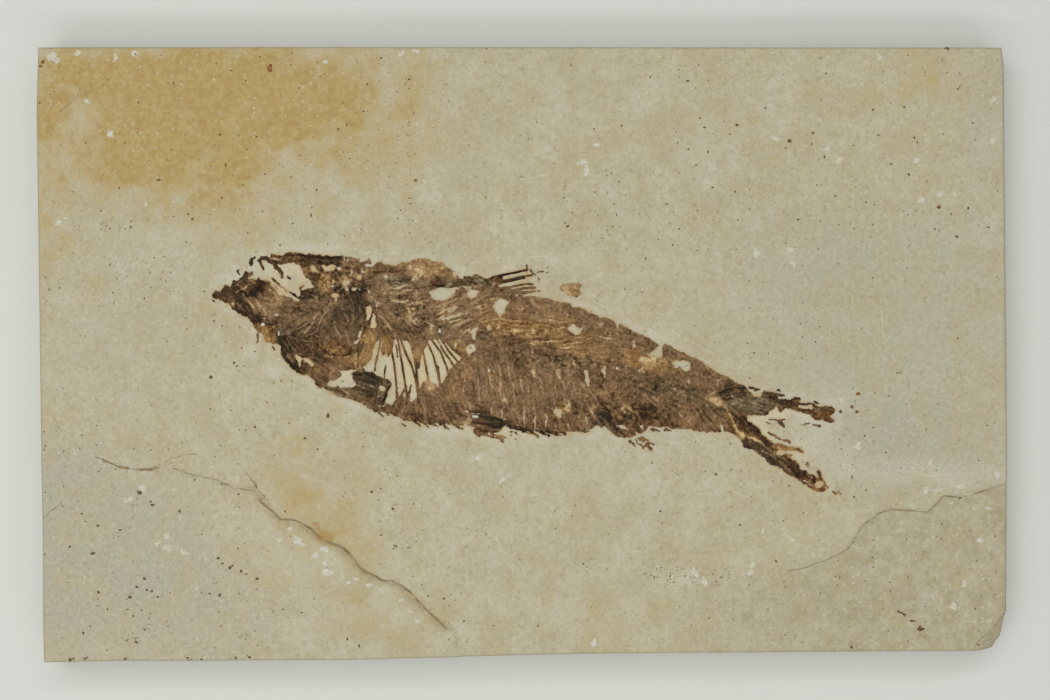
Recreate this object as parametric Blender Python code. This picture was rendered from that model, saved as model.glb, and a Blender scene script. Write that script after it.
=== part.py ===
"""Fossil fish slab: a sawn plate of laminated limestone with a small fossil fish in its upper face.

The plate lies on its flat back, Z up, with the origin under its middle. Every outline below was
traced by hand looking straight down on the slab, in traced points: x runs right along the
slab's long side and y runs down. at() turns a traced point into metres on the slab.
"""

import math

import bmesh
import bpy
import numpy as np
from mathutils import Vector
from mathutils.geometry import delaunay_2d_cdt

# Driving dimensions, in metres
SLAB_LENGTH = 0.204
SLAB_THICKNESS = 0.010
LAMINA_RISE = 0.00045
FLAKE_DROP = 0.00045
RIM_WEAR = 0.00025
CHIP_SLOPE = 0.8
POCKET_DEPTH = 0.0005
POCKET_CLEARANCE = 0.0003
CUTTER_HEIGHT = 0.0020
EDGE_RISE = 0.00025
VERTEBRA_RISE = 0.00030
BONE_RIDGE = 0.00024
HEAD_CROWN, BODY_CROWN, FIN_CROWN = 0.00042, 0.00045, 0.00030

# The traced span of the slab's long side, and the middle of its traced box
TRACED_LEFT, TRACED_RIGHT = 36.4, 1007.5
TRACED_TOP, TRACED_BOTTOM = 47.0, 662.5
POINT_SIZE = SLAB_LENGTH / (TRACED_RIGHT - TRACED_LEFT)
TRACED_MIDDLE = ((TRACED_LEFT + TRACED_RIGHT) / 2, (TRACED_TOP + TRACED_BOTTOM) / 2)

# Sizes along the trace, in traced points
RIM_WIDTH = 1.6
LEDGE_HALF_RUN = 0.9
STONE_GRID = 42.0
PLATE_GRID = 8.0
TRUNK_GRID = 10.0
CROWN_REACH = 7.0
EDGE_REACH = 2.0
RIDGE_HALF_WIDTH = 1.7
RIDGE_REACH = 1.5
VERTEBRA_PITCH = 8.6
VERTEBRA_REACH = 1.3
VERTEBRA_HALF_HEIGHT = 3.4
RIB_WIDTH = 1.9
SPINE_BASE_WIDTH = 4.2

# Shares of a vertebra's pitch, of a thorn's base and of a grid's spacing
VERTEBRA_FACE, VERTEBRA_FOOT = 0.22, 0.42
SPINE_TIP_SHARE = 0.2
GRID_CLEARANCE = 0.42

TRIANGULATION_EPSILON = 1e-4
SMOOTH_ANGLE = math.radians(35)

# The stone
SLAB_OUTLINE = [
    (38.0, 47.3), (300, 47.0), (640, 47.2), (1001.8, 47.5), (1004, 67), (1005, 200), (1006.5, 350),
    (1007.5, 500), (1006.8, 610.6), (1004.8, 625.9), (1003.3, 636), (1000.7, 642.2), (995.6, 648.9),
    (990.5, 650.4), (975.7, 651.4), (700, 652.8), (573, 654), (452, 657), (350, 659.6), (110, 661),
    (43.8, 662.5), (42.9, 618), (42.4, 528.6), (40.8, 439), (39.7, 350), (38, 223), (36.4, 111.6),
]
CHIP_LINE = [(1006.8, 610.6), (990.9, 630.4), (975.7, 651.4)]

# Upper edge of the lamina that is left at lower left, then the lamina's far corners off the slab
LAMINA_LEDGE = [
    (94.6, 456.5), (113, 464.5), (135.9, 469.7), (156.6, 468), (172.7, 469), (193.3, 476),
    (216.3, 480.6), (233.5, 488.6), (255.3, 491), (263.3, 497), (273.3, 511.6), (280.9, 519.3),
    (296.2, 520.4), (311.5, 529.2), (323.8, 540), (340.6, 546), (354.1, 559), (365.7, 571.8),
    (382.7, 580.7), (401.4, 585.2), (419.3, 602), (437, 619), (455, 630), (458.6, 643), (462, 668),
]
LAMINA_FAR_SIDE = [(30, 668), (30, 450)]
LAMINA_FADE = (92.0, 230.0)

# Edge of the patch that has flaked off at lower right, then its far corners off the slab
FLAKE_LEDGE = [
    (1014, 482.6), (1002.7, 485.3), (979.5, 492.4), (959.6, 497.4), (943, 495.7), (937.2, 504),
    (927.3, 512.3), (909, 510.6), (891, 509.7), (880.8, 512.8), (862.4, 525.5), (848.7, 548.5),
    (838, 555), (824.7, 560.7), (805.3, 567.9), (789, 571), (745, 586),
]
FLAKE_FAR_SIDE = [(745, 668), (1014, 668)]
FLAKE_FADE = (750.0, 850.0)

POCKET = [
    (207, 296), (212, 288), (222, 283), (229, 277), (238, 274.5), (243, 267), (248, 254),
    (262, 252), (268, 249.5), (300, 248.6), (345, 251), (362, 256), (373, 258), (392, 259),
    (402, 256.6), (428, 254), (446, 259), (462, 270), (476, 269), (486, 272), (510, 267),
    (526, 261), (533, 264), (538, 275), (546, 288), (556, 296), (572, 300), (600, 311),
    (620, 320.6), (645, 331), (664, 339.6), (690, 351), (715, 365), (745, 381), (768, 386),
    (800, 392.6), (834, 401), (841, 409), (839, 427), (815, 425), (792, 414), (776, 420),
    (766, 423), (768, 432), (780, 438), (797, 442), (810, 450), (809, 457), (801, 458.6),
    (806, 464), (822, 465), (828, 474), (835, 487), (831, 495.6), (818, 497), (800, 488),
    (785, 478.6), (765, 468.6), (742, 453), (735, 441), (724, 437), (700, 436), (660, 433),
    (650, 436), (640, 438.6), (626, 443), (610, 438), (601, 433), (585, 436.6), (573, 440),
    (545, 441), (520, 438), (508, 446), (496, 443), (476, 439), (466, 434.6), (440, 432.6),
    (420, 431), (398, 425), (385, 422), (370, 414.6), (352, 405), (336, 400.6), (318, 392.6),
    (306, 380), (292, 377), (278, 363), (275, 350), (262, 348), (256, 340), (252, 331),
    (243, 320.6), (230, 311.6), (218, 304),
]

# The skull
CHEEK_AND_JAWS = [
    (212.4, 295.6), (213.2, 293.2), (217, 291.2), (221.4, 292.4), (222.3, 288.6), (226.4, 287.6),
    (228.2, 285.4), (230.6, 286.8), (233.4, 280.6), (239.6, 281.4), (242, 277.4), (245.4, 275),
    (245.6, 271.4), (248.4, 271.4), (250, 273.2), (254, 273.6), (251.6, 276), (247.6, 278.6),
    (256.4, 279.6), (258.4, 277.6), (260.4, 279.8), (266, 280.6), (271, 283), (276, 286.6),
    (284, 294), (286.6, 297.2), (291, 298.8), (296, 301), (303, 300.4), (320, 300.6), (333, 301.6),
    (331.2, 306), (328.6, 312), (326.8, 318), (323.8, 324), (319.8, 329), (317.6, 335),
    (317.2, 342), (317.8, 348.4), (319, 354.2), (326.4, 357.8), (334, 360.4), (343, 361.4),
    (350.6, 358.8), (354.2, 357), (354.4, 362), (354, 369), (349.6, 370), (339, 370.8),
    (330, 381), (327, 384.6), (331, 387), (337.6, 386.8), (338, 395.6), (333, 393.2), (327, 391),
    (325, 388.6), (322, 388.8), (319, 387.4), (315, 382), (310, 376), (306, 374), (303, 374.6),
    (296, 372.4), (291, 367), (284, 360), (282, 355), (280, 345.4), (276, 342.6), (272, 343.4),
    (265, 343), (263.4, 339), (263.6, 334), (261.4, 331.4), (259.4, 333), (254, 326.4),
    (252.4, 323.4), (248.8, 319), (248.4, 316.8), (243.4, 315.6), (238.6, 312.8), (233, 308.4),
    (226, 302.4), (223.4, 300.2), (216, 299), (213.4, 297.6),
]
SKULL_ROOF = [
    (269.4, 257), (270.8, 253.8), (284, 255), (287, 253.3), (296, 253), (311, 253.6),
    (316, 255.2), (336, 256.6), (343.2, 256), (343.6, 259.6), (352, 261.6), (358, 261),
    (361, 265), (361, 270), (358.4, 275), (356.4, 279), (354.6, 283), (355.6, 287),
    (350, 288), (343, 285.6), (339.4, 288), (337.2, 292), (335.6, 297.6), (332, 303),
    (300, 303), (299, 299), (300.6, 291.2), (308, 289.4), (314, 288.6), (311, 280.6),
    (307, 278.6), (302, 270), (300, 264.4), (292, 262.8), (283, 263), (277, 259.2),
]
SKULL_WINDOWS = [
    [(231, 301.6), (234.6, 302), (235, 304.6), (232.4, 305.6), (230.4, 304)],
    [(295, 353.6), (299, 357), (308, 359.6), (312, 362), (314, 365), (311.4, 367.4),
     (304, 361.6), (301, 363), (300, 367), (298.2, 366), (296, 357.4)],
    [(310, 265), (313, 265.6), (320, 272.4), (311, 270.6)],
    [(321, 266), (334, 265), (337, 266), (330, 270), (325.6, 273), (323.6, 270)],
    [(341.6, 282.6), (345, 280.6), (350, 280), (350.6, 284), (346, 285)],
]
SKULL_BARS = [
    ([(257.8, 260.4), (261, 258.8), (266, 258.4), (270.6, 260), (275, 262.4), (286, 261.6)], 4.0),
    ([(260.2, 260), (261.4, 266), (262.8, 270.4)], 2.2),
    ([(273.4, 262), (276, 267), (280, 271), (281.2, 276.8)], 2.4),
    ([(271.3, 278.3), (283.4, 287.6), (290.6, 293.4), (303, 300.6)], 1.7),
    ([(303.4, 284.6), (300.6, 289), (302, 292.6)], 2.4),
]
SKULL_RIDGES = [
    [(216, 295), (228, 299), (240, 308), (252, 321)],
    [(229, 290), (240, 289), (250, 296), (256, 308), (262, 320), (268, 330)],
    [(258, 284), (264, 293), (263, 300)],
    [(268, 312), (280, 308), (296, 309), (312, 305)],
    [(282, 345), (288, 356), (296, 367), (310, 371), (324, 379)],
    [(284, 336), (296, 341), (308, 350), (324, 361), (338, 365)],
    [(274, 256.4), (300, 256.6), (322, 258.8), (340, 260)],
    [(318, 276), (328, 284), (324, 294)],
]

# The gill cover
GILL_COVER = [
    (340.6, 290.8), (343.2, 288.6), (346, 291), (358, 290.6), (363, 289.4), (366.4, 291.4),
    (368.6, 295), (367.4, 299.6), (365.2, 304.6), (364.6, 310), (364.6, 320), (363.4, 325),
    (360.6, 329.4), (357.6, 331.4), (356.6, 338), (354.4, 342), (352.8, 348), (352.2, 352.6),
    (348.6, 356.2), (343, 358.4), (335, 357.4), (328, 354.8), (321.4, 351.8), (320, 348),
    (319.6, 342), (320, 335.4), (322.2, 330.4), (326.2, 325.4), (329.2, 319), (331, 312.6),
    (333.6, 306.6), (335, 303.4), (338, 299), (339.6, 294),
]
GILL_COVER_RIDGES = [
    [(344, 309), (348.6, 318), (347.4, 326), (348, 334), (348.6, 343)],
    [(323, 339), (326, 333), (332, 331.6), (340, 334)],
    [(323, 350), (331, 353), (341, 355), (348, 352)],
    [(343, 294), (352, 295.6), (362, 294)],
    [(359, 302), (360, 314), (358, 326)],
    [(327, 327), (334, 320), (337, 310)],
]

# The trunk
TRUNK = [
    (363.4, 273), (370, 271), (372, 268), (374, 264.6), (377, 262), (380.6, 262), (385, 264),
    (397, 266.2), (400, 264.6), (402, 261.6), (410, 262.4), (414, 260.2), (420, 259.2), (428, 259),
    (431.6, 261.2), (442, 263.2), (444.4, 266), (451, 269.6), (455, 272.6), (457.4, 276.4),
    (457.6, 280.8), (466, 283.2), (474, 285.8), (482, 288.2), (490, 291.2), (498, 294.2),
    (505, 296.2), (520, 295.8), (535, 296.4), (547, 299), (562, 302.4), (570, 304.4), (574, 307),
    (583, 308.6), (593, 313), (599, 317), (604, 316.6), (609, 318.4), (613, 321), (616, 324.6),
    (616.4, 329.6), (618, 329.6), (619, 325.4), (624, 325.8), (638, 333.4), (647, 337),
    (651, 340.6), (658.6, 345), (656.6, 349), (648.6, 353), (650.4, 355.6), (656, 357.4),
    (661.6, 356.6), (662.8, 352), (662.6, 346.6), (664.4, 344), (673, 348.4), (688, 355.4),
    (703, 363), (721, 374), (738, 382.8), (743.4, 385.2), (735, 385.2), (727, 386.2), (718, 389),
    (711, 392), (706, 397), (704.8, 403), (705.6, 408), (709, 413.6), (717, 423.6), (720, 432.4),
    (714, 433), (696, 430.4), (680, 428), (675, 428.8), (660, 427.2), (645, 426),
    (642.6, 422.6), (636, 414), (632, 409), (627, 406.2), (620.6, 408), (618.8, 413.6),
    (615.4, 415.6), (610, 412.2), (604, 408.8), (598, 407.2), (592.4, 404.6), (589.4, 407),
    (590.2, 412), (593.2, 417), (594.8, 421), (596.6, 425), (591, 429), (584, 430.4), (571, 431.4),
    (552, 431.6), (536, 430.6), (520, 428.6), (507.6, 426.6), (507.4, 419), (501, 415.4),
    (492, 413.8), (484, 412.8), (472, 412.4), (464.6, 414.4), (461.6, 417.4), (461.6, 422),
    (463, 425.8), (450, 424.4), (440, 423.4), (420, 420.4), (404, 417.6), (399, 415.8),
    (395, 416.8), (388, 413), (384, 412), (375, 410), (370, 409.4), (362, 403.6), (357, 401),
    (343, 398), (340, 396.4), (339.8, 388.4), (346, 387.8), (354.4, 386.2), (362, 387),
    (378, 387.6), (382.6, 388.4), (379.6, 394), (376.6, 397), (374.6, 401), (376.8, 406),
    (381, 408.8), (385, 407.4), (387.4, 403.6), (389, 396), (393.6, 385), (393, 381),
    (388, 376.8), (372, 370.6), (366, 368.8), (357.8, 369.6), (356.6, 368), (356.4, 352),
    (357.4, 344.6), (359, 340), (360.6, 332.6), (365.2, 327), (367.8, 320.4), (366.4, 319),
    (366.8, 310), (368, 303.6), (371, 298), (371, 293), (367.6, 288.4), (363, 287.2),
    (358.4, 287.4), (357, 283.4), (359.4, 278),
]
RIB_WINDOW = [
    (375.6, 343), (380, 338.6), (382, 343), (380.6, 350), (382, 356), (386, 353.6), (388.6, 357.6),
    (392, 352), (393.4, 346), (394.6, 339.6), (397, 337.4), (402, 341), (407.6, 341), (410, 345),
    (413, 356), (414.6, 366), (416.6, 366), (421, 356), (424.6, 349), (427, 345), (428, 341),
    (431, 339.6), (439, 338.8), (443, 341.6), (448, 343.4), (457, 352), (462, 356.4), (460, 360),
    (452, 367.6), (448.6, 370), (447.4, 375), (440.6, 385.6), (436, 389), (428, 386), (424, 381),
    (421.4, 385), (419.4, 392), (418.4, 397.4), (411, 402), (407, 398), (402, 396), (398, 398),
    (394, 402), (392.6, 405), (386, 404.4), (380, 390), (366, 380), (360, 371.4), (363, 368.6),
    (366, 365), (371, 360), (373, 350),
]
TRUNK_WINDOWS = [
    RIB_WINDOW,
    [(372.6, 313), (375, 315), (377.2, 325), (375.6, 328.4), (369.8, 328.4), (370.8, 321)],
    [(493, 306), (497, 299.6), (503, 298.4), (509, 302), (505, 308), (505, 312), (500, 317.6),
     (495.4, 312)],
    [(568, 328), (573.4, 324), (579, 328.4), (583.6, 325.6), (582, 331), (576, 335.6),
     (571.4, 332)],
    [(672, 361.4), (688, 360.6), (691.6, 368.6), (685.6, 372), (680, 368), (673.6, 369)],
    [(430.4, 297), (431, 291.6), (441, 286.4), (447, 288.8), (459.6, 287.6), (448, 299.4),
     (435, 301)],
    [(448, 311.6), (456, 306), (458, 306.8), (450, 312.8)],
    [(441, 320), (446, 317.4), (458.6, 313.6), (458.4, 316), (443, 320.8)],
    [(466, 293.4), (471, 289.6), (480, 291.4), (471.6, 299.6)],
    [(467.6, 331.6), (479, 326.6), (475.6, 334), (475, 339), (472.6, 340.6), (471.4, 334)],
    [(465, 348), (470, 343.8), (475, 344.6), (476, 350), (468, 355.6)],
    [(584, 371), (587, 370), (588.6, 377), (590, 386), (587.6, 387), (585, 379)],
    [(553, 412), (557, 408), (562, 411), (562, 415), (559, 419), (556, 415)],
]
RIBS = [
    [(380.4, 334), (379.4, 345), (377.6, 356), (374.4, 370.6)],
    [(391.4, 349), (394, 364), (396, 380), (397.4, 402)],
    [(396.6, 335), (400.6, 356), (404.6, 380), (407.6, 402)],
    [(399.4, 337), (404.6, 350), (411.4, 365), (416, 380), (418.8, 402)],
    [(415.6, 362), (416.8, 376), (419, 390), (420, 402)],
    [(422.4, 349), (426, 367), (428, 378), (429, 390)],
    [(427, 342), (433.4, 356), (438.6, 376), (440.6, 392)],
    [(429.6, 337), (440.6, 352), (446.2, 366), (449.6, 378)],
    [(433.6, 335), (443.6, 351), (450, 360), (455, 368)],
    [(438.6, 335), (448, 350), (457, 361), (461, 364)],
    [(444.6, 340), (450.6, 347), (457, 353), (464, 359)],
]
BELLY_SPINES = [
    ((374.6, 408.4), (384.2, 417.4)), ((383, 409.6), (389, 415.4)), ((398, 414), (405, 420.6)),
    ((405, 417), (413, 423.2)), ((412, 419), (421, 427)), ((419, 419.6), (429, 426.8)),
    ((429, 421.2), (439, 427.4)), ((440, 422.6), (449.6, 429.8)), ((451, 423), (463.4, 430.2)),
    ((510, 426), (523, 432)), ((520, 427.6), (531.4, 434.8)), ((528, 428.8), (540, 437.2)),
    ((536, 429.6), (549.4, 436.4)), ((545, 430), (560.6, 436)), ((556, 430.4), (571, 435.6)),
    ((578, 429.6), (590.4, 431.8)),
]
VERTEBRAL_COLUMN = [
    (375, 305), (400, 315), (440, 330), (480, 342), (520, 352), (560, 362), (600, 370),
    (640, 381), (680, 396), (700, 402),
]
TRUNK_RIDGES = [
    [(376, 266), (392, 273), (410, 275), (430, 270), (446, 275)],
    [(372, 281), (384, 281), (396, 279), (410, 283), (424, 281)],
    [(378, 288), (400, 286), (424, 290)],
    [(378, 296), (404, 296), (426, 306), (440, 303), (452, 303)],
    [(384, 318), (392, 330), (398, 334)],
    [(404, 320), (414, 333), (418, 344), (419, 354)],
    [(424, 327), (436, 318), (446, 312)],
    [(448, 330), (462, 322), (484, 316), (496, 322)],
    [(484, 298), (484, 312)],
    [(512, 304), (530, 312), (552, 314)],
    [(500, 324), (530, 328), (560, 320)],
    [(520, 340), (560, 332), (596, 326)],
    [(560, 347), (600, 346), (636, 342)],
    [(606, 358), (636, 368), (668, 378)],
    [(624, 334), (640, 348)],
    [(670, 352), (684, 358)],
    [(694, 374), (716, 381)],
    [(482, 354), (488, 378), (489, 404)],
    [(496, 358), (504, 380), (505, 408)],
    [(512, 362), (519, 386), (520, 418)],
    [(527, 364), (534, 388), (535, 420)],
    [(542, 368), (549, 390), (547, 420)],
    [(557, 372), (568, 394), (570, 420)],
    [(572, 375), (581, 396), (583, 420)],
    [(600, 382), (612, 398), (620, 403)],
    [(620, 388), (634, 402), (644, 416)],
    [(640, 394), (652, 408), (664, 420)],
    [(659, 400), (672, 412), (682, 423)],
    [(678, 406), (692, 416), (702, 425)],
    [(458, 374), (461, 392), (457, 412)],
    [(472, 362), (475, 384), (472, 406)],
    [(446, 392), (448, 404), (447, 417)],
    [(430, 396), (434, 408), (436, 418)],
    [(402, 404), (400, 412)],
    [(348, 392), (360, 393), (370, 401)],
]

# The fins
DORSAL_BASE = [
    (459.2, 278.6), (463, 278.4), (463.6, 276), (470.6, 276.6), (473, 275.2), (476, 274),
    (485.6, 278.6), (492, 276.8), (503, 276), (503, 280), (496, 283), (500, 287), (508, 290),
    (514, 293.4), (506, 293.8), (498, 291.8), (490, 288.8), (482, 285.8), (474, 283.4),
    (466, 280.8),
]
DORSAL_RAYS = [
    ([(484, 280.4), (500, 275.6), (514, 272.6), (527.8, 269.8)], 2.4),
    ([(490, 284.6), (506, 281.2), (516, 278.8), (525, 277)], 3.8),
    ([(523, 276.6), (532.6, 275)], 1.8),
    ([(496, 288.4), (509.4, 287.6), (520, 285), (528, 283.8), (534, 284.8)], 2.0),
    ([(502, 290.4), (513, 290.2), (524, 288.4), (536, 287.6)], 2.4),
    ([(508, 292), (525, 291.8), (540.6, 291)], 1.7),
]
PECTORAL_FIN = [
    (351, 373.8), (355, 372.4), (366, 371.2), (372, 373), (384, 378.4), (387.4, 379.2),
    (391.2, 382), (391.4, 385), (387, 395.6), (384.6, 403.4), (382, 406), (379, 404.4),
    (377.4, 401), (383, 393), (385.8, 388.6), (384, 385.8), (378, 385), (362, 384.4),
    (356, 383.4), (353.6, 379.6),
]
PECTORAL_RIDGES = [
    [(354, 375.6), (366, 374.4), (378, 378.4), (388, 383)],
    [(357, 380), (368, 379.6), (380, 382.4), (388, 384.6)],
    [(389, 386), (385, 397), (381.6, 403)],
]
PELVIC_FIN = [
    (464, 418), (466.6, 416.6), (472, 414.8), (484, 415), (492, 416), (500, 417.6),
    (505, 420.6), (505.2, 425), (502, 427.4), (501, 432), (492, 432.8), (484, 433.4),
    (478, 434.8), (474, 432.6), (472.4, 429.8), (477, 428.4), (472, 426.4), (466, 424),
    (464, 421.4),
]
PELVIC_RAYS = [
    ([(478, 432.6), (489, 435.4), (503.6, 440.6)], 1.8),
    ([(486, 431), (496, 435.4), (506, 438.4)], 1.7),
]
PELVIC_RIDGES = [
    [(468, 419), (480, 418), (492, 419), (502, 422)],
    [(470, 422.6), (482, 423), (500, 428)],
]
ANAL_FIN = [
    (592.2, 407.6), (597, 409.8), (603, 411), (609, 414.6), (615, 418.4), (621, 416),
    (622.6, 410.8), (626, 409), (630, 411.2), (634, 416.6), (639.6, 424.6), (644.4, 431),
    (641, 433.2), (633, 431.6), (637, 434.8), (630, 437), (624.6, 438.2), (619, 437),
    (613, 434), (606, 427), (604, 425.4), (602.4, 427.8), (600.6, 427.4), (596.8, 419.6),
    (595.6, 414.6), (592.8, 411),
]
ANAL_WINDOW = [(616, 425.4), (620, 424.6), (628, 428), (627, 430), (621, 429.6)]
ANAL_RIDGES = [
    [(595, 411), (600, 418), (606, 425.6), (613, 431.6), (624, 435.6)],
    [(606, 415), (613, 423), (620, 431), (629, 433.6)],
    [(625, 412), (630, 421), (637, 428)],
]
TAIL_UPPER_LOBE = [
    (708.4, 397.6), (713, 394.4), (719, 391.4), (727, 388.4), (736, 387.2), (747.4, 387.2),
    (748, 391.6), (756.4, 396.6), (760.6, 397.4), (761.6, 393.4), (764.2, 390.4), (776, 393.4),
    (783.6, 395.2), (783.4, 396.8), (777.4, 397), (777, 398.8), (790.6, 399.4), (791, 397),
    (801, 398.4), (800.4, 401.2), (797, 402.8), (809, 403.2), (816, 404.8), (822, 407),
    (826, 405.4), (831.6, 406), (831, 408.4), (836, 409.6), (835, 413), (829, 416.4),
    (834.4, 419.4), (834.4, 423), (821, 419.8), (814.6, 419.6), (811, 415.8), (800, 412),
    (790, 408.4), (785, 409), (782, 411.4), (778, 411.2), (777, 405.6), (774, 409.6),
    (769, 412.6), (764, 415.4), (752, 415.2), (747.4, 415.8), (741, 411.8), (735, 407.8),
    (728, 405.6), (720, 404), (712, 403.4), (707.4, 403.4),
]
TAIL_UPPER_WINDOW = [(799, 405.8), (803, 405.4), (812, 408), (811, 410), (804, 408.6)]
TAIL_UPPER_RIDGES = [
    [(714, 396), (726, 391.6), (740, 391), (754, 398), (772, 398), (790, 403), (812, 413)],
    [(716, 400.4), (734, 399), (752, 404), (770, 404.6)],
    [(734, 403), (750, 409.6), (762, 411)],
]
TAIL_LOWER_LOBE = [
    (707.6, 406), (713, 406), (720, 406.8), (727, 408), (733, 410), (740, 414), (746.4, 418.2),
    (748, 421), (754, 424.4), (759, 428.6), (764, 434.4), (768, 439.4), (774, 443), (786, 445.6),
    (798, 448), (805, 451.6), (804, 453), (790, 449.8), (784, 450.4), (786, 453.4),
    (792.4, 454.6), (792, 456), (788, 456.6), (796, 461), (801, 469.4), (806, 471.4),
    (816, 476.6), (819.6, 477.6), (816.6, 471.6), (818.4, 469.6), (820.6, 472.6), (826, 485),
    (828.6, 488), (824, 491.6), (816, 491), (804.6, 484.4), (797.6, 478.8), (785.6, 472.6),
    (777, 466.6), (768, 462.6), (762, 455.6), (751, 448.6), (744.6, 448.2), (744, 445.6),
    (737, 437), (733, 433), (724, 430.4), (722, 427), (719, 421.6), (711, 411.8),
]
TAIL_LOWER_WINDOWS = [
    [(734, 427), (742, 432.2), (751, 435.6), (759, 440), (752, 439.4), (740, 436.2)],
    [(817, 481.4), (821, 480.8), (823, 486), (818, 487.4)],
]
TAIL_LOWER_RIDGES = [
    [(714, 409.6), (728, 413), (742, 421), (756, 431), (766, 440)],
    [(716, 413.6), (728, 424), (738, 434)],
    [(746, 444), (762, 450), (780, 463), (796, 473), (810, 484)],
    [(764, 443), (782, 454), (798, 468), (812, 480)],
]


def at(point):
    """Metres on the slab for a traced point."""
    x = (point[0] - TRACED_MIDDLE[0]) * POINT_SIZE
    y = (TRACED_MIDDLE[1] - point[1]) * POINT_SIZE
    return x, y


def smooth(value, low, high):
    """0 at low, 1 at high, with a soft start and end."""
    t = min(max((value - low) / (high - low), 0.0), 1.0)
    return t * t * (3.0 - 2.0 * t)


def segments_of(path, closed):
    """The path's segments as an array of start and end points."""
    points = np.array(path, float)
    ends = np.roll(points, -1, axis=0) if closed else points[1:]
    starts = points if closed else points[:-1]
    return np.stack([starts, ends], axis=1)


def distances(points, segments):
    """Each point's distance to the nearest of the segments."""
    points = np.array(points, float)[:, None, :]
    starts = segments[None, :, 0, :]
    runs = segments[None, :, 1, :] - starts
    along = ((points - starts) * runs).sum(-1) / np.maximum((runs * runs).sum(-1), 1e-12)
    nearest = starts + np.clip(along, 0.0, 1.0)[..., None] * runs
    return np.sqrt(((points - nearest) ** 2).sum(-1)).min(axis=1)


def inside(point, segments):
    """True where the closed segments go round the point."""
    low, high = segments[:, 0, :], segments[:, 1, :]
    crosses = (low[:, 1] > point[1]) != (high[:, 1] > point[1])
    rise = np.where(crosses, high[:, 1] - low[:, 1], 1.0)
    x = low[:, 0] + (point[1] - low[:, 1]) / rise * (high[:, 0] - low[:, 0])
    return bool((crosses & (x > point[0])).sum() % 2)


def side_steps(path):
    """A unit step to the left of an open path at each of its points."""
    points = np.array(path, float)
    along = np.gradient(points, axis=0)
    along /= np.linalg.norm(along, axis=1, keepdims=True)
    return points, np.stack([along[:, 1], -along[:, 0]], axis=1)


def beside(path, step):
    """An open path moved sideways."""
    points, left = side_steps(path)
    return [tuple(p) for p in points + left * step]


def ribbon(path, width):
    """The closed outline of a bone or ray that runs along a path."""
    return beside(path, width / 2) + beside(path, -width / 2)[::-1]


def spine(root, tip):
    """The closed outline of a thorn from its root to its tip."""
    along = np.subtract(tip, root)
    across = np.array([-along[1], along[0]]) / np.linalg.norm(along) * SPINE_BASE_WIDTH / 2
    blunt = across * SPINE_TIP_SHARE
    return [
        tuple(root + across), tuple(root - across), tuple(tip - blunt), tuple(tip + blunt)
    ]


def along_path(path, pitch):
    """Places every pitch along a path, each with the direction of travel there."""
    points = np.array(path, float)
    runs = np.linalg.norm(np.diff(points, axis=0), axis=1)
    reached = np.concatenate([[0.0], np.cumsum(runs)])
    places = np.arange(0.0, reached[-1], pitch)
    x = np.interp(places, reached, points[:, 0])
    y = np.interp(places, reached, points[:, 1])
    spots = np.stack([x, y], axis=1)
    travel = np.gradient(spots, axis=0)
    return spots, travel / np.linalg.norm(travel, axis=1, keepdims=True)


def inset(outline, step):
    """A closed outline moved inwards by a step, for the slab's nearly straight sides."""
    points = np.array(outline, float)
    before = points - np.roll(points, 1, axis=0)
    after = np.roll(points, -1, axis=0) - points
    before /= np.linalg.norm(before, axis=1, keepdims=True)
    after /= np.linalg.norm(after, axis=1, keepdims=True)
    middle = before + after
    middle /= np.linalg.norm(middle, axis=1, keepdims=True)
    inwards = np.stack([-middle[:, 1], middle[:, 0]], axis=1)
    turn = (middle * after).sum(-1, keepdims=True)
    return [tuple(p) for p in points + inwards * step / turn]


def crests_and_feet(ridges):
    """The ridges' own lines and, on both sides of each, the lines where it rises."""
    lines = list(ridges)
    for ridge in ridges:
        lines += [beside(ridge, RIDGE_HALF_WIDTH), beside(ridge, -RIDGE_HALF_WIDTH)]
    return lines


def grid_points(segments, spacing):
    """Loose points on a staggered grid over the segments' box, clear of the segments."""
    low = segments.min(axis=(0, 1))
    high = segments.max(axis=(0, 1))
    rows = np.arange(low[1] + spacing / 2, high[1], spacing * math.sqrt(0.75))
    points = []
    for number, y in enumerate(rows):
        shift = spacing / 2 * (number % 2)
        points += [(x, y) for x in np.arange(low[0] + shift, high[0], spacing)]
    clear = distances(points, segments) > spacing * GRID_CLEARANCE
    return [point for point, free in zip(points, clear) if free]


def triangulate(outlines, creases, loose):
    """Triangles over closed outlines, open creases and loose points.

    Gives the corners, the triangles, and for each triangle the outlines that hold it.
    """
    corners, edges, faces = [], [], []
    for outline in outlines:
        faces.append(list(range(len(corners), len(corners) + len(outline))))
        corners += [Vector(point) for point in outline]
    for crease in creases:
        first = len(corners)
        edges += [(first + i, first + i + 1) for i in range(len(crease) - 1)]
        corners += [Vector(point) for point in crease]
    corners += [Vector(point) for point in loose]
    found = delaunay_2d_cdt(corners, edges, faces, 0, TRIANGULATION_EPSILON)
    return found[0], found[2], found[5]


def border_of(triangles):
    """The edges that only one of the triangles has, in that triangle's direction."""
    edges = {(t[i], t[(i + 1) % 3]) for t in triangles for i in range(3)}
    return sorted((a, b) for a, b in edges if (b, a) not in edges)


def underside_of(corners, border):
    """Triangles that fill the border with as few corners as it has."""
    used = sorted({corner for edge in border for corner in edge})
    place = {corner: number for number, corner in enumerate(used)}
    edges = [(place[a], place[b]) for a, b in border]
    flat = [corners[corner] for corner in used]
    found = delaunay_2d_cdt(flat, edges, [], 0, TRIANGULATION_EPSILON)
    names = [used[origin[0]] for origin in found[3]]
    segments = np.array([[corners[a], corners[b]] for a, b in border], float)
    triangles = []
    for triangle in found[2]:
        middle = sum((found[0][i] for i in triangle), Vector((0, 0))) / 3
        if inside(middle, segments):
            triangles.append([names[i] for i in triangle])
    return triangles


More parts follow.
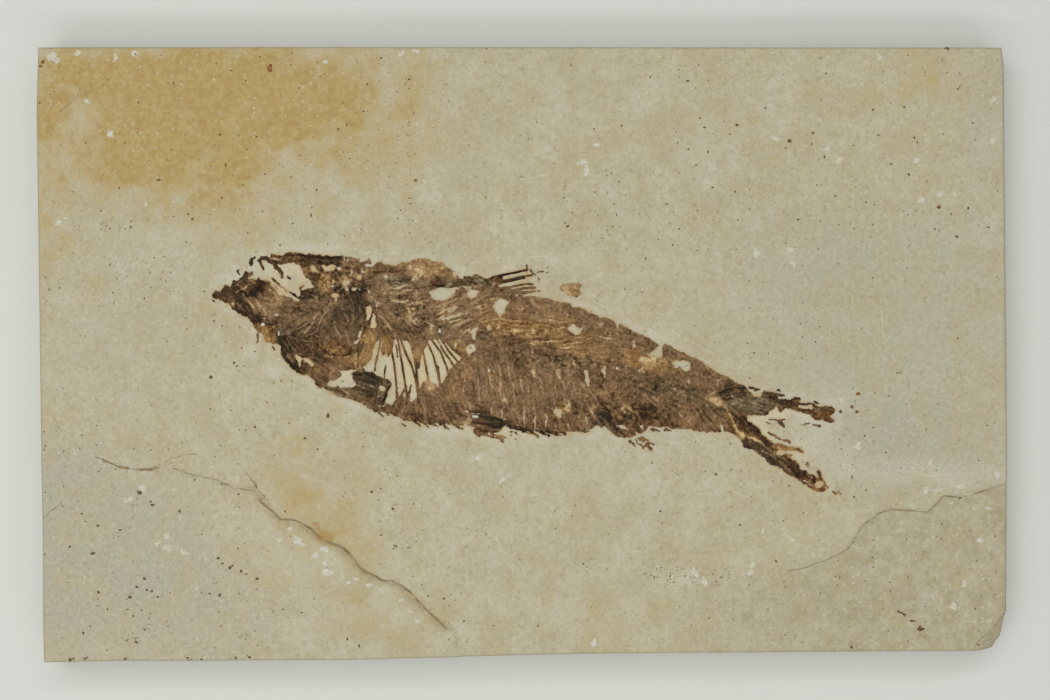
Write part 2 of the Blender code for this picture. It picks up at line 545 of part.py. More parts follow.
def closed_mesh(name, corners, triangles, top, bottom):
    """A solid between a top surface and a flat or stepped underside with the same border.

    top gives each corner's height; bottom is a list of (inset corners, height) rings
    below the border, the last of which is filled.
    """
    shape = bmesh.new()
    upper = {}
    for corner in sorted({c for t in triangles for c in t}):
        upper[corner] = shape.verts.new((*at(corners[corner]), top[corner]))
    for triangle in triangles:
        shape.faces.new([upper[corner] for corner in triangle])
    border = border_of(triangles)
    ring = upper
    for places, height in bottom:
        lower = {a: shape.verts.new((*at(places[a]), height)) for a, _ in border}
        for a, b in border:
            shape.faces.new([ring[b], ring[a], lower[a], lower[b]])
        ring = lower
    places = bottom[-1][0]
    for triangle in underside_of(places, border):
        shape.faces.new([ring[corner] for corner in reversed(triangle)])
    bmesh.ops.recalc_face_normals(shape, faces=shape.faces)
    mesh = bpy.data.meshes.new(name)
    shape.to_mesh(mesh)
    shape.free()
    mesh.shade_smooth()
    mesh.set_sharp_from_angle(angle=SMOOTH_ANGLE)
    return mesh


def material(name, colour, roughness):
    """A plain matt finish."""
    finish = bpy.data.materials.new(name)
    finish.use_nodes = True
    shader = finish.node_tree.nodes["Principled BSDF"]
    shader.inputs["Base Color"].default_value = (*colour, 1.0)
    shader.inputs["Roughness"].default_value = roughness
    shader.inputs["Metallic"].default_value = 0.0
    return finish


def add_object(name, mesh, finish):
    """Puts a mesh in the scene as a named piece."""
    mesh.materials.append(finish)
    piece = bpy.data.objects.new(name, mesh)
    bpy.context.scene.collection.objects.link(piece)
    return piece


def stone_height(point, outline, lamina, flake):
    """Height of the stone's upper face over its back at a traced point."""
    height = SLAB_THICKNESS
    if inside(point, lamina):
        height += LAMINA_RISE * smooth(point[0], *LAMINA_FADE)
    elif inside(point, flake):
        height -= FLAKE_DROP * smooth(point[0], *FLAKE_FADE)
    run = np.subtract(CHIP_LINE[-1], CHIP_LINE[0])
    away = np.array([run[1], -run[0]]) / np.linalg.norm(run)
    beyond = float(np.dot(np.subtract(point, CHIP_LINE[0]), away))
    height -= CHIP_SLOPE * max(0.0, beyond) * POINT_SIZE
    to_rim = distances([point], outline)[0]
    return height - RIM_WEAR * max(0.0, 1.0 - to_rim / RIM_WIDTH)


def pocket_cutter():
    """The shallow pocket that the fish lies in, as the shape to be cut away."""
    shape = bmesh.new()
    floor = SLAB_THICKNESS - POCKET_DEPTH
    base = shape.faces.new([shape.verts.new((*at(point), floor)) for point in POCKET])
    lifted = bmesh.ops.extrude_face_region(shape, geom=[base])["geom"]
    corners = [item for item in lifted if isinstance(item, bmesh.types.BMVert)]
    bmesh.ops.translate(shape, vec=(0, 0, CUTTER_HEIGHT), verts=corners)
    bmesh.ops.recalc_face_normals(shape, faces=shape.faces)
    mesh = bpy.data.meshes.new("fish_pocket_cutter")
    shape.to_mesh(mesh)
    shape.free()
    cutter = bpy.data.objects.new("fish_pocket_cutter", mesh)
    bpy.context.scene.collection.objects.link(cutter)
    cutter.hide_render = True
    cutter.display_type = "WIRE"
    return cutter


def build_slab(finish):
    """The sawn plate with its ledges, worn rim, chipped corner and fish pocket."""
    outline = segments_of(SLAB_OUTLINE, True)
    lamina = segments_of(LAMINA_LEDGE + LAMINA_FAR_SIDE, True)
    flake = segments_of(FLAKE_LEDGE + FLAKE_FAR_SIDE, True)
    creases = [CHIP_LINE]
    for ledge in (LAMINA_LEDGE, FLAKE_LEDGE):
        creases += [beside(ledge, LEDGE_HALF_RUN), beside(ledge, -LEDGE_HALF_RUN)]
    rim = inset(SLAB_OUTLINE, RIM_WIDTH)
    lines = [segments_of(rim, True)] + [segments_of(crease, False) for crease in creases]
    loose = grid_points(np.concatenate([outline] + lines), STONE_GRID)
    corners, triangles, held = triangulate([SLAB_OUTLINE, rim], creases, loose)
    triangles = [t for t, within in zip(triangles, held) if 0 in within]
    top = [stone_height(corner, outline, lamina, flake) for corner in corners]
    back = list(corners)
    middle = Vector(TRACED_MIDDLE)
    for edge in border_of(triangles):
        start = corners[edge[0]]
        back[edge[0]] = start + (middle - start).normalized() * RIM_WIDTH
    rings = [(corners, RIM_WEAR), (back, 0.0)]
    mesh = closed_mesh("limestone_slab", corners, triangles, top, rings)
    slab = add_object("limestone_slab", mesh, finish)
    cut = slab.modifiers.new("fish_pocket", "BOOLEAN")
    cut.operation = "DIFFERENCE"
    cut.object = pocket_cutter()
    return slab


def bumps(corners, crests, reach, rise):
    """Added height at each corner from raised lines: the full rise on them, none at reach."""
    if not crests:
        return np.zeros(len(corners))
    lines = np.concatenate([segments_of(crest, False) for crest in crests])
    return rise * np.clip(1.0 - distances(corners, lines) / reach, 0.0, 1.0)


def relief_plate(
    name, solids, finish, windows=(), bars=(), ridges=(), blocks=(), spacing=PLATE_GRID,
    crown=FIN_CROWN,
):
    """A thin bone or scale plate that lies in the pocket, highest away from its edges.

    solids are closed outlines, windows are openings in them, bars are bones and thorns
    that cross windows or stand out from the edge, ridges are raised creases, and blocks
    are (top lines, foot lines) of flat-topped bones.
    """
    outlines = list(solids) + list(windows) + list(bars)
    kept_from = len(solids) + len(windows)
    tops = [line for block in blocks for line in block[0]]
    creases = crests_and_feet(ridges) + tops + [line for block in blocks for line in block[1]]
    lines = np.concatenate(
        [segments_of(outline, True) for outline in outlines]
        + [segments_of(crease, False) for crease in creases]
    )
    corners, triangles, held = triangulate(outlines, creases, grid_points(lines, spacing))

    def solid(within):
        if any(number >= kept_from for number in within):
            return True
        in_window = any(len(solids) <= number < kept_from for number in within)
        return bool(within) and not in_window

    triangles = [t for t, within in zip(triangles, held) if solid(within)]
    border = np.array([[corners[a], corners[b]] for a, b in border_of(triangles)], float)
    edge_run = distances(corners, border)
    top = SLAB_THICKNESS + EDGE_RISE + crown * (1.0 - np.exp(-edge_run / CROWN_REACH))
    bump = bumps(corners, ridges, RIDGE_REACH, BONE_RIDGE)
    bump = np.maximum(bump, bumps(corners, tops, VERTEBRA_REACH, VERTEBRA_RISE))
    top += bump * (1.0 - np.exp(-edge_run / EDGE_REACH))
    underside = SLAB_THICKNESS - POCKET_DEPTH + POCKET_CLEARANCE
    mesh = closed_mesh(name, corners, triangles, top, [(corners, underside)])
    return add_object(name, mesh, finish)


def vertebrae():
    """Each vertebra of the column: two lines across its flat top and two across its foot."""
    spots, travel = along_path(VERTEBRAL_COLUMN, VERTEBRA_PITCH)
    blocks = []
    for spot, step in zip(spots, travel):
        across = np.array([-step[1], step[0]]) * VERTEBRA_HALF_HEIGHT
        lines = []
        for shift in (-VERTEBRA_FACE, VERTEBRA_FACE, -VERTEBRA_FOOT, VERTEBRA_FOOT):
            middle = spot + step * VERTEBRA_PITCH * shift
            lines.append([tuple(middle - across), tuple(middle + across)])
        blocks.append((lines[:2], lines[2:]))
    return blocks


def build_fish():
    """The fish, from snout to tail."""
    bone = material("fossil_bone", (0.11, 0.062, 0.032), 0.62)
    dark_bone = material("fossil_dark_bone", (0.055, 0.036, 0.022), 0.58)
    scale = material("fossil_scale", (0.165, 0.095, 0.050), 0.66)
    relief_plate(
        "skull", [CHEEK_AND_JAWS, SKULL_ROOF], bone, windows=SKULL_WINDOWS,
        bars=[ribbon(path, width) for path, width in SKULL_BARS], ridges=SKULL_RIDGES,
        crown=HEAD_CROWN,
    )
    relief_plate(
        "gill_cover", [GILL_COVER], dark_bone, ridges=GILL_COVER_RIDGES, crown=HEAD_CROWN,
    )
    bars = [ribbon(rib, RIB_WIDTH) for rib in RIBS]
    bars += [spine(root, tip) for root, tip in BELLY_SPINES]
    relief_plate(
        "trunk", [TRUNK], scale, windows=TRUNK_WINDOWS, bars=bars,
        ridges=TRUNK_RIDGES, blocks=vertebrae(), spacing=TRUNK_GRID, crown=BODY_CROWN,
    )
    relief_plate("dorsal_fin", [DORSAL_BASE], bone, bars=[ribbon(*ray) for ray in DORSAL_RAYS])
    relief_plate("pectoral_fin", [PECTORAL_FIN], dark_bone, ridges=PECTORAL_RIDGES)
    relief_plate(
        "pelvic_fin", [PELVIC_FIN], dark_bone, bars=[ribbon(*ray) for ray in PELVIC_RAYS],
        ridges=PELVIC_RIDGES,
    )
    relief_plate("anal_fin", [ANAL_FIN], bone, windows=[ANAL_WINDOW], ridges=ANAL_RIDGES)
    relief_plate(
        "tail_upper_lobe", [TAIL_UPPER_LOBE], bone, windows=[TAIL_UPPER_WINDOW],
        ridges=TAIL_UPPER_RIDGES,
    )
    relief_plate(
        "tail_lower_lobe", [TAIL_LOWER_LOBE], bone, windows=TAIL_LOWER_WINDOWS,
        ridges=TAIL_LOWER_RIDGES,
    )


def main():
    for old in list(bpy.data.objects):
        bpy.data.objects.remove(old, do_unlink=True)
    build_slab(material("limestone", (0.45, 0.41, 0.30), 0.86))
    build_fish()


main()
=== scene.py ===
"""Looks of the fossil fish slab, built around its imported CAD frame.

Places on the slab are traced points: x runs to the right and y down, looking straight down on
the face. One traced point is about 0.21 mm. Heights are metres above the slab's back.
"""

import bpy
import numpy as np
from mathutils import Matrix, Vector
from mathutils.geometry import delaunay_2d_cdt


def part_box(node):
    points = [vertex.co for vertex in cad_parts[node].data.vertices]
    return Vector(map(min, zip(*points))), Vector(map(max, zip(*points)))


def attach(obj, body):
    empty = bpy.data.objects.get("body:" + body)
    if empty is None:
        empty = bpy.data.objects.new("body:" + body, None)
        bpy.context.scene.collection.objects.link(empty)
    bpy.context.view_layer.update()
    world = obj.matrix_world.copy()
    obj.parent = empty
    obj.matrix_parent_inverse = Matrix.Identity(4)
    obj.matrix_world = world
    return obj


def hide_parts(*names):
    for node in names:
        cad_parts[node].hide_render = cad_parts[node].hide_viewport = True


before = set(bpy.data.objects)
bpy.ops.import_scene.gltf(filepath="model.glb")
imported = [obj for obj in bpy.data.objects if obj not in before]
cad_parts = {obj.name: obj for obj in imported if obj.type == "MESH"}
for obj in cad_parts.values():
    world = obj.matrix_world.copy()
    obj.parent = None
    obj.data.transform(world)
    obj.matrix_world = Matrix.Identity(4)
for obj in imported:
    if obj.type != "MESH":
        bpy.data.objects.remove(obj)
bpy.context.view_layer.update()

# The slab's traced span, which sets the size of a traced point
TRACED_LEFT, TRACED_RIGHT = 36.4, 1007.5
TRACED_MIDDLE = (521.95, 354.75)
SLAB_LOW, SLAB_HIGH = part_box("limestone_slab")
POINT = (SLAB_HIGH.x - SLAB_LOW.x) / (TRACED_RIGHT - TRACED_LEFT)

# In metres: the slab's face over its back, a millimetre, and how close heights are taken as one
FACE = 0.010
MILLIMETRE = 0.001
SAME_HEIGHT = 1e-6

# The photograph's frame, in traced points, and its lens
VIEW_MIDDLE = (525.0, 350.0)
VIEW_WIDTH = 1050.0
LENS_MM, SENSOR_MM = 60.0, 36.0

# Grids and reaches, in traced points
FISH_SPAN = (203.0, 242.0, 850.0, 505.0)
FISH_PITCH = 0.75
STONE_SPAN = (TRACED_LEFT - 10, 37, TRACED_RIGHT + 10, 673)
STONE_SHEET_PITCH = 1.5
STONE_PITCH = 2.86
FAR = 14.0
FISH_REACH = 16.0
VERTEBRA_REACH = 9.0
VERTEBRA_PITCH = 8.6
CROWN_RUN = 7.0
RELIEF_RUN = 2.2
LATTICE = 256
EDGE_SNAP = 0.06
SEAM_OVERLAP = 0.06

# Islands of a cut-out sheet with fewer triangles are left out, and how a flat underside is
# filled: triangles inside its loops less the holes, with points this close taken as one
FEWEST_TRIANGLES = 14
INSIDE_LESS_HOLES = 2
TOUCHING = 1e-6

# How the stone's grid is laid: the places of the first rows beside the rim, where the even rows
# begin, and how close and how far along grid points are drawn to a ledge
RIM_ROWS = (0.0, 0.6, 1.6)
EVEN_ROWS_FROM = 3.4
DRAWN_REACH = 0.55 * STONE_PITCH
DRAWN_LEFT, DRAWN_RIGHT, DRAWN_BOTTOM = 60, 1000, 648
LEDGE_HALF_WIDTH = 0.55
SLOPE_STEP = 0.05

# Heights of the fossil's film over the stone's face
FILM_EDGE = 0.10 * MILLIMETRE
FILM_CROWN = 0.34 * MILLIMETRE
FILM_ROOT = 0.22 * MILLIMETRE
DEEPEST_DENT = 0.08 * MILLIMETRE
MARK_DEPTH = 0.05 * MILLIMETRE
STREAK_HEIGHT = 0.045 * MILLIMETRE
LUMP_HEIGHT = 0.04 * MILLIMETRE
SCALE_HEIGHT = 0.03 * MILLIMETRE
BROKEN_HEIGHT = 0.05 * MILLIMETRE
RIDGE_HEIGHT = 0.15 * MILLIMETRE
VERTEBRA_HEIGHT = 0.22 * MILLIMETRE

# What every place and each kind of mark adds to the film's tone
EVERY_TONE = 0.03
DARK_TONE = -0.26
LIGHT_TONE = 0.46
PALE_TONE = 0.44
VERTEBRA_TONE = 0.06

# A CAD triangle leaning less than this from upright is part of a wall
WALL_TILT = 0.3

# Relief of the stone and of its sides
LAMINA_RISE = 0.45 * MILLIMETRE
FLAKE_DROP = 0.45 * MILLIMETRE
RIM_WEAR = 0.25 * MILLIMETRE
SCRAPED_DEPTH = 0.06 * MILLIMETRE
CHIP_SLOPE = 0.8
SIDE_ROWS = 12
SIDE_ROUGHNESS = 0.06 * MILLIMETRE
FOOT_BEVEL = 0.25 * MILLIMETRE

# Ledges, each closed by a far side beyond the slab, and where they and the painted shade beside them fade
# in
LAMINA_LEDGE = [
    (94.6, 456.5), (113, 464.5), (135.9, 469.7), (156.6, 468), (172.7, 469), (193.3, 476),
    (216.3, 480.6), (233.5, 488.6), (255.3, 491), (263.3, 497), (273.3, 511.6), (280.9, 519.3),
    (296.2, 520.4), (311.5, 529.2), (323.8, 540), (340.6, 546), (354.1, 559), (365.7, 571.8),
    (382.7, 580.7), (401.4, 585.2), (419.3, 602), (437, 619), (455, 630), (458.6, 643), (462, 668),
]
LAMINA_FAR_SIDE = [(30, 668), (30, 450)]
LAMINA_FADE = (92.0, 230.0)
LAMINA_SHADE_FADE = (240, 280)
LAMINA_SHADE_BOTTOM = 646
FLAKE_LEDGE = [
    (1014, 482.6), (1002.7, 485.3), (979.5, 492.4), (959.6, 497.4), (943, 495.7), (937.2, 504),
    (927.3, 512.3), (909, 510.6), (891, 509.7), (880.8, 512.8), (862.4, 525.5), (848.7, 548.5),
    (838, 555), (824.7, 560.7), (805.3, 567.9), (789, 571), (745, 586),
]
FLAKE_FAR_SIDE = [(745, 668), (1014, 668)]
FLAKE_FADE = (750.0, 850.0)
# The chipped corner, from end to end
CHIP_LINE = ((1006.8, 610.6), (975.7, 651.4))

# Faint pale scratches and arcs left by the preparation tools: width and path
SCRATCHES = [
    (1.2, [(520, 262), (530, 257), (545, 256), (558, 260), (568, 268), (576, 279), (580, 296)]),
    (0.9, [(645, 328), (655, 332), (665, 340)]), (0.9, [(700, 358), (708, 362), (717, 368)]),
    (1.0, [(808, 436), (812, 446), (820, 455)]), (0.9, [(462, 262), (480, 262), (500, 258)]),
    (0.8, [(560, 288), (556, 296)]), (0.9, [(660, 322), (680, 336), (700, 346), (720, 360), (744, 376)]),
    (0.8, [(590, 300), (612, 310), (630, 320)]), (1.0, [(800, 440), (806, 452), (806, 462)]),
    (1.1, [(842, 446), (850, 462), (848, 474)]), (0.9, [(828, 452), (838, 466), (840, 480)]),
    (0.8, [(275, 362), (290, 376)]), (0.8, [(226, 312), (236, 322), (250, 334)]),
    (0.9, [(360, 254), (380, 250), (400, 254)]), (0.8, [(318, 250), (340, 246), (362, 250)]),
    (1.0, [(520, 180), (560, 172), (600, 176)]), (0.8, [(880, 300), (884, 340)]),
    (1.2, [(900, 470), (930, 476), (950, 474)]), (1.0, [(915, 462), (925, 470)]),
]
# Browner ground beside the flaked patch: x, y, half width, half height, strength
BROWNER = [(740, 625, 70, 40, 0.5), (800, 600, 60, 40, 0.5), (985, 490, 30, 10, 0.3)]

# Thin dark lines, mostly painted shadow at the foot of the ledges, the rest dark cracks and creases: width
# and path
LEDGE_LINES = [
    (0.7, [(94.6, 456.5), (104, 460.5)]),
    (2.0, [(104, 460.5), (118, 466.4), (135.9, 469.7), (150, 469.6), (156.6, 467.8)]),
    (0.6, [(163.5, 462), (180, 456), (196.8, 453.6)]),
    (0.9, [(172.7, 468), (193.3, 475), (216.3, 479.6), (233.5, 487.6), (255.3, 490.9)]),
    (1.4, [(246.5, 472.6), (250.3, 478), (254.9, 483.3), (258, 490.2), (263.3, 495.6)]),
    (1.6, [
        (257.2, 497.8), (264, 504), (273.3, 511.6), (280.9, 519.3), (287, 519.3), (296.2, 520.4),
        (303.9, 524.6), (311.5, 529.2), (317.6, 535.3), (323.8, 540), (332.9, 543.8),
        (340.6, 546), (348, 552.1), (354.1, 559), (359.5, 567.3), (365.7, 571.8), (374.6, 575.4),
        (382.7, 580.7), (392.5, 580.7), (401.4, 585.2),
    ]),
    (1.2, [
        (401.4, 585.2), (410.4, 592.3), (419.3, 602), (426.4, 610), (437, 619), (446, 628),
    ]),
    (1.1, [
        (1008, 484), (1002.7, 485.3), (979.5, 492.4), (959.6, 497.4), (943, 495.7),
        (937.2, 504), (927.3, 512.3), (909, 510.6), (891, 509.7), (880.8, 512.8),
    ]),
    (0.8, [
        (880.8, 512.8), (862.4, 525.5), (848.7, 548.5), (838, 555), (824.7, 560.7),
        (805.3, 567.9), (789, 571),
    ]),
    (0.5, [(842, 419), (850, 414.4), (870, 409.6)]), (0.5, [(844, 433.6), (855, 433.6)]),
    (0.6, [(800, 424), (804, 425.6), (812, 425.2), (819, 426.6)]), (0.5, [(799, 428.6), (810, 428.6)]),
    (0.9, [(975.5, 647), (981, 639.4), (990, 631.4), (998, 623), (1005.4, 612.6)]),
    (0.5, [(840, 438), (844, 435.4)]), (0.6, [(43, 518), (52, 510), (62, 503)]),
    (0.7, [(60, 112), (74, 100), (80, 92)]), (0.5, [(642, 330), (654, 334), (660, 340)]),
]

# Broad stains on the stone: x, y, half width, half height, strength
IRON_STAINS = [
    (150, 110, 160, 90, 0.5), (110, 76, 90, 40, 0.35), (190, 100, 90, 50, 0.3), (130, 150, 60, 36, 0.3),
    (262, 90, 90, 52, 0.3), (200, 165, 46, 26, 0.25), (236, 170, 30, 26, 0.35), (310, 90, 70, 50, 0.3),
    (270, 66, 10, 10, 0.5), (310, 120, 50, 44, 0.2), (46, 200, 22, 90, 0.35), (380, 90, 70, 60, 0.25),
    (136, 83, 12, 12, 0.4), (78, 80, 22, 14, 0.35), (153, 127, 26, 14, 0.25), (128, 165, 26, 18, 0.25),
    (48, 100, 16, 30, 0.3), (300, 95, 26, 16, 0.2), (237, 176, 14, 10, 0.3), (940, 75, 60, 30, 0.2),
    (600, 130, 90, 50, 0.12), (740, 130, 60, 24, 0.14), (285, 500, 34, 30, 0.16), (322, 515, 38, 28, 0.22),
    (352, 540, 34, 26, 0.24), (330, 484, 66, 50, 0.2), (325, 532, 10, 8, 0.5), (382, 570, 26, 16, 0.26),
    (370, 620, 80, 34, 0.28), (290, 570, 60, 40, 0.22), (295, 440, 14, 24, 0.25),
    (230, 200, 90, 50, 0.2), (560, 610, 60, 30, 0.16), (640, 620, 60, 30, 0.14),
    (90, 285, 30, 16, 0.25), (410, 160, 10, 80, 0.2), (720, 285, 16, 10, 0.35), (215, 305, 30, 16, 0.2),
    (335, 408, 20, 10, 0.25), (270, 165, 150, 95, 0.16), (335, 115, 110, 80, 0.14), (880, 84, 90, 40, 0.12),
]
GREY_AREAS = [
    (120, 330, 90, 90, 0.3), (110, 550, 100, 90, 0.95), (200, 610, 90, 60, 0.7), (60, 470, 50, 40, 0.5),
    (60, 570, 50, 110, 0.7),
    (890, 320, 130, 130, 0.62), (915, 450, 90, 50, 0.65), (560, 560, 130, 40, 0.1),
    (990, 100, 36, 70, 0.5), (780, 260, 90, 60, 0.3),
]
PALE_AREAS = [
    (226, 279, 18, 9, 0.6), (322, 251, 30, 5, 0.6), (274, 370, 9, 7, 0.8), (812, 430, 22, 18, 0.5),
    (900, 470, 60, 16, 0.4), (690, 577, 10, 8, 0.7), (565, 262, 30, 10, 0.3), (660, 333, 16, 6, 0.5),
    (250, 350, 9, 8, 0.5), (960, 480, 40, 14, 0.4), (790, 256, 12, 9, 0.4), (300, 558, 30, 22, 0.3),
    (835, 455, 26, 22, 0.4), (70, 300, 30, 8, 0.3), (205, 230, 40, 12, 0.25), (840, 396, 20, 10, 0.3),
]
# Warm stone in the openings between the bones, in the same way
WINDOW_MATRIX = [
    (432, 362, 50, 40, 1.0), (290, 270, 22, 16, 0.9), (345, 376, 10, 6, 1.0), (768, 424, 30, 19, 1.2),
    (806, 452, 20, 16, 0.4),
    (372, 318, 8, 16, 1.0), (300, 360, 10, 8, 0.9), (335, 270, 30, 12, 0.8), (495, 435, 40, 9, 0.5),
    (640, 360, 16, 8, 0.7),
]
# Rusty spots by the ledge: left, right, top, bottom
RUST_SPOTS = [(310, 319, 521, 532), (314, 324, 528, 539), (325, 332, 534, 540)]

# White bruises: left, right, top, bottom
BRUISES = [
    (46, 57, 52, 60), (52, 61, 58, 64), (74, 81, 50, 56), (113, 117, 53, 61), (86, 90, 98, 105),
    (107, 115, 130, 137), (131, 138, 50, 58), (276, 284, 536, 542), (270, 277, 535, 538),
    (293, 302, 534, 544), (296, 306, 541, 545), (285, 292, 526, 532), (320, 328, 545, 553),
    (312, 320, 552, 560), (322, 329, 559, 567), (323, 333, 568, 576), (138, 147, 485, 491),
    (128, 134, 495, 503), (124, 129, 500, 505), (164, 171, 530, 541), (156, 163, 540, 546),
    (163, 170, 545, 551), (180, 188, 549, 555), (395, 408, 51, 56), (409, 420, 50, 54),
    (505, 520, 50, 53), (578, 586, 158, 166), (582, 589, 165, 178), (592, 600, 144, 148),
    (770, 780, 136, 142), (825, 830, 145, 151), (820, 829, 147, 150), (835, 843, 158, 165),
    (753, 761, 249, 257), (786, 795, 246, 254), (789, 796, 260, 268), (838, 845, 396, 402),
    (854, 862, 443, 450), (913, 921, 157, 163), (936, 944, 191, 197), (990, 996, 97, 103),
    (788, 796, 536, 542), (762, 767, 528, 534), (976, 985, 538, 545), (950, 957, 502, 506),
    (924, 930, 486, 496), (932, 942, 488, 492), (958, 966, 484, 490), (966, 975, 492, 497),
    (993, 1000, 472, 479), (975, 982, 458, 463), (928, 934, 458, 466), (911, 917, 466, 470),
    (980, 988, 578, 582), (963, 968, 582, 588), (951, 958, 604, 609), (988, 993, 620, 624),
    (948, 952, 636, 639), (745, 753, 570, 577), (750, 755, 562, 568), (985, 991, 507, 511),
    (142, 149, 202, 208), (62, 70, 216, 220), (56, 62, 219, 224), (876, 884, 53, 61),
    (988, 997, 136, 143), (913, 919, 176, 182),
    (864, 869, 190, 194), (952, 960, 191, 197), (918, 927, 198, 202), (690, 699, 568, 577),
    (700, 706, 577, 586),
    (476, 482, 455, 461), (500, 506, 478, 484), (590, 598, 640, 646), (322, 328, 60, 66),
    (345, 351, 580, 585), (353, 360, 577, 582), (365, 372, 582, 587), (379, 384, 588, 592),
    (398, 403, 599, 604), (407, 412, 609, 613), (414, 420, 617, 623), (338, 344, 571, 575),
]
CHALK_HEIGHT = 0.035 * MILLIMETRE
CHALK_ROOT = 0.16 * MILLIMETRE
CHALK_PITCH = 0.55
CHALK_MARGIN = 3

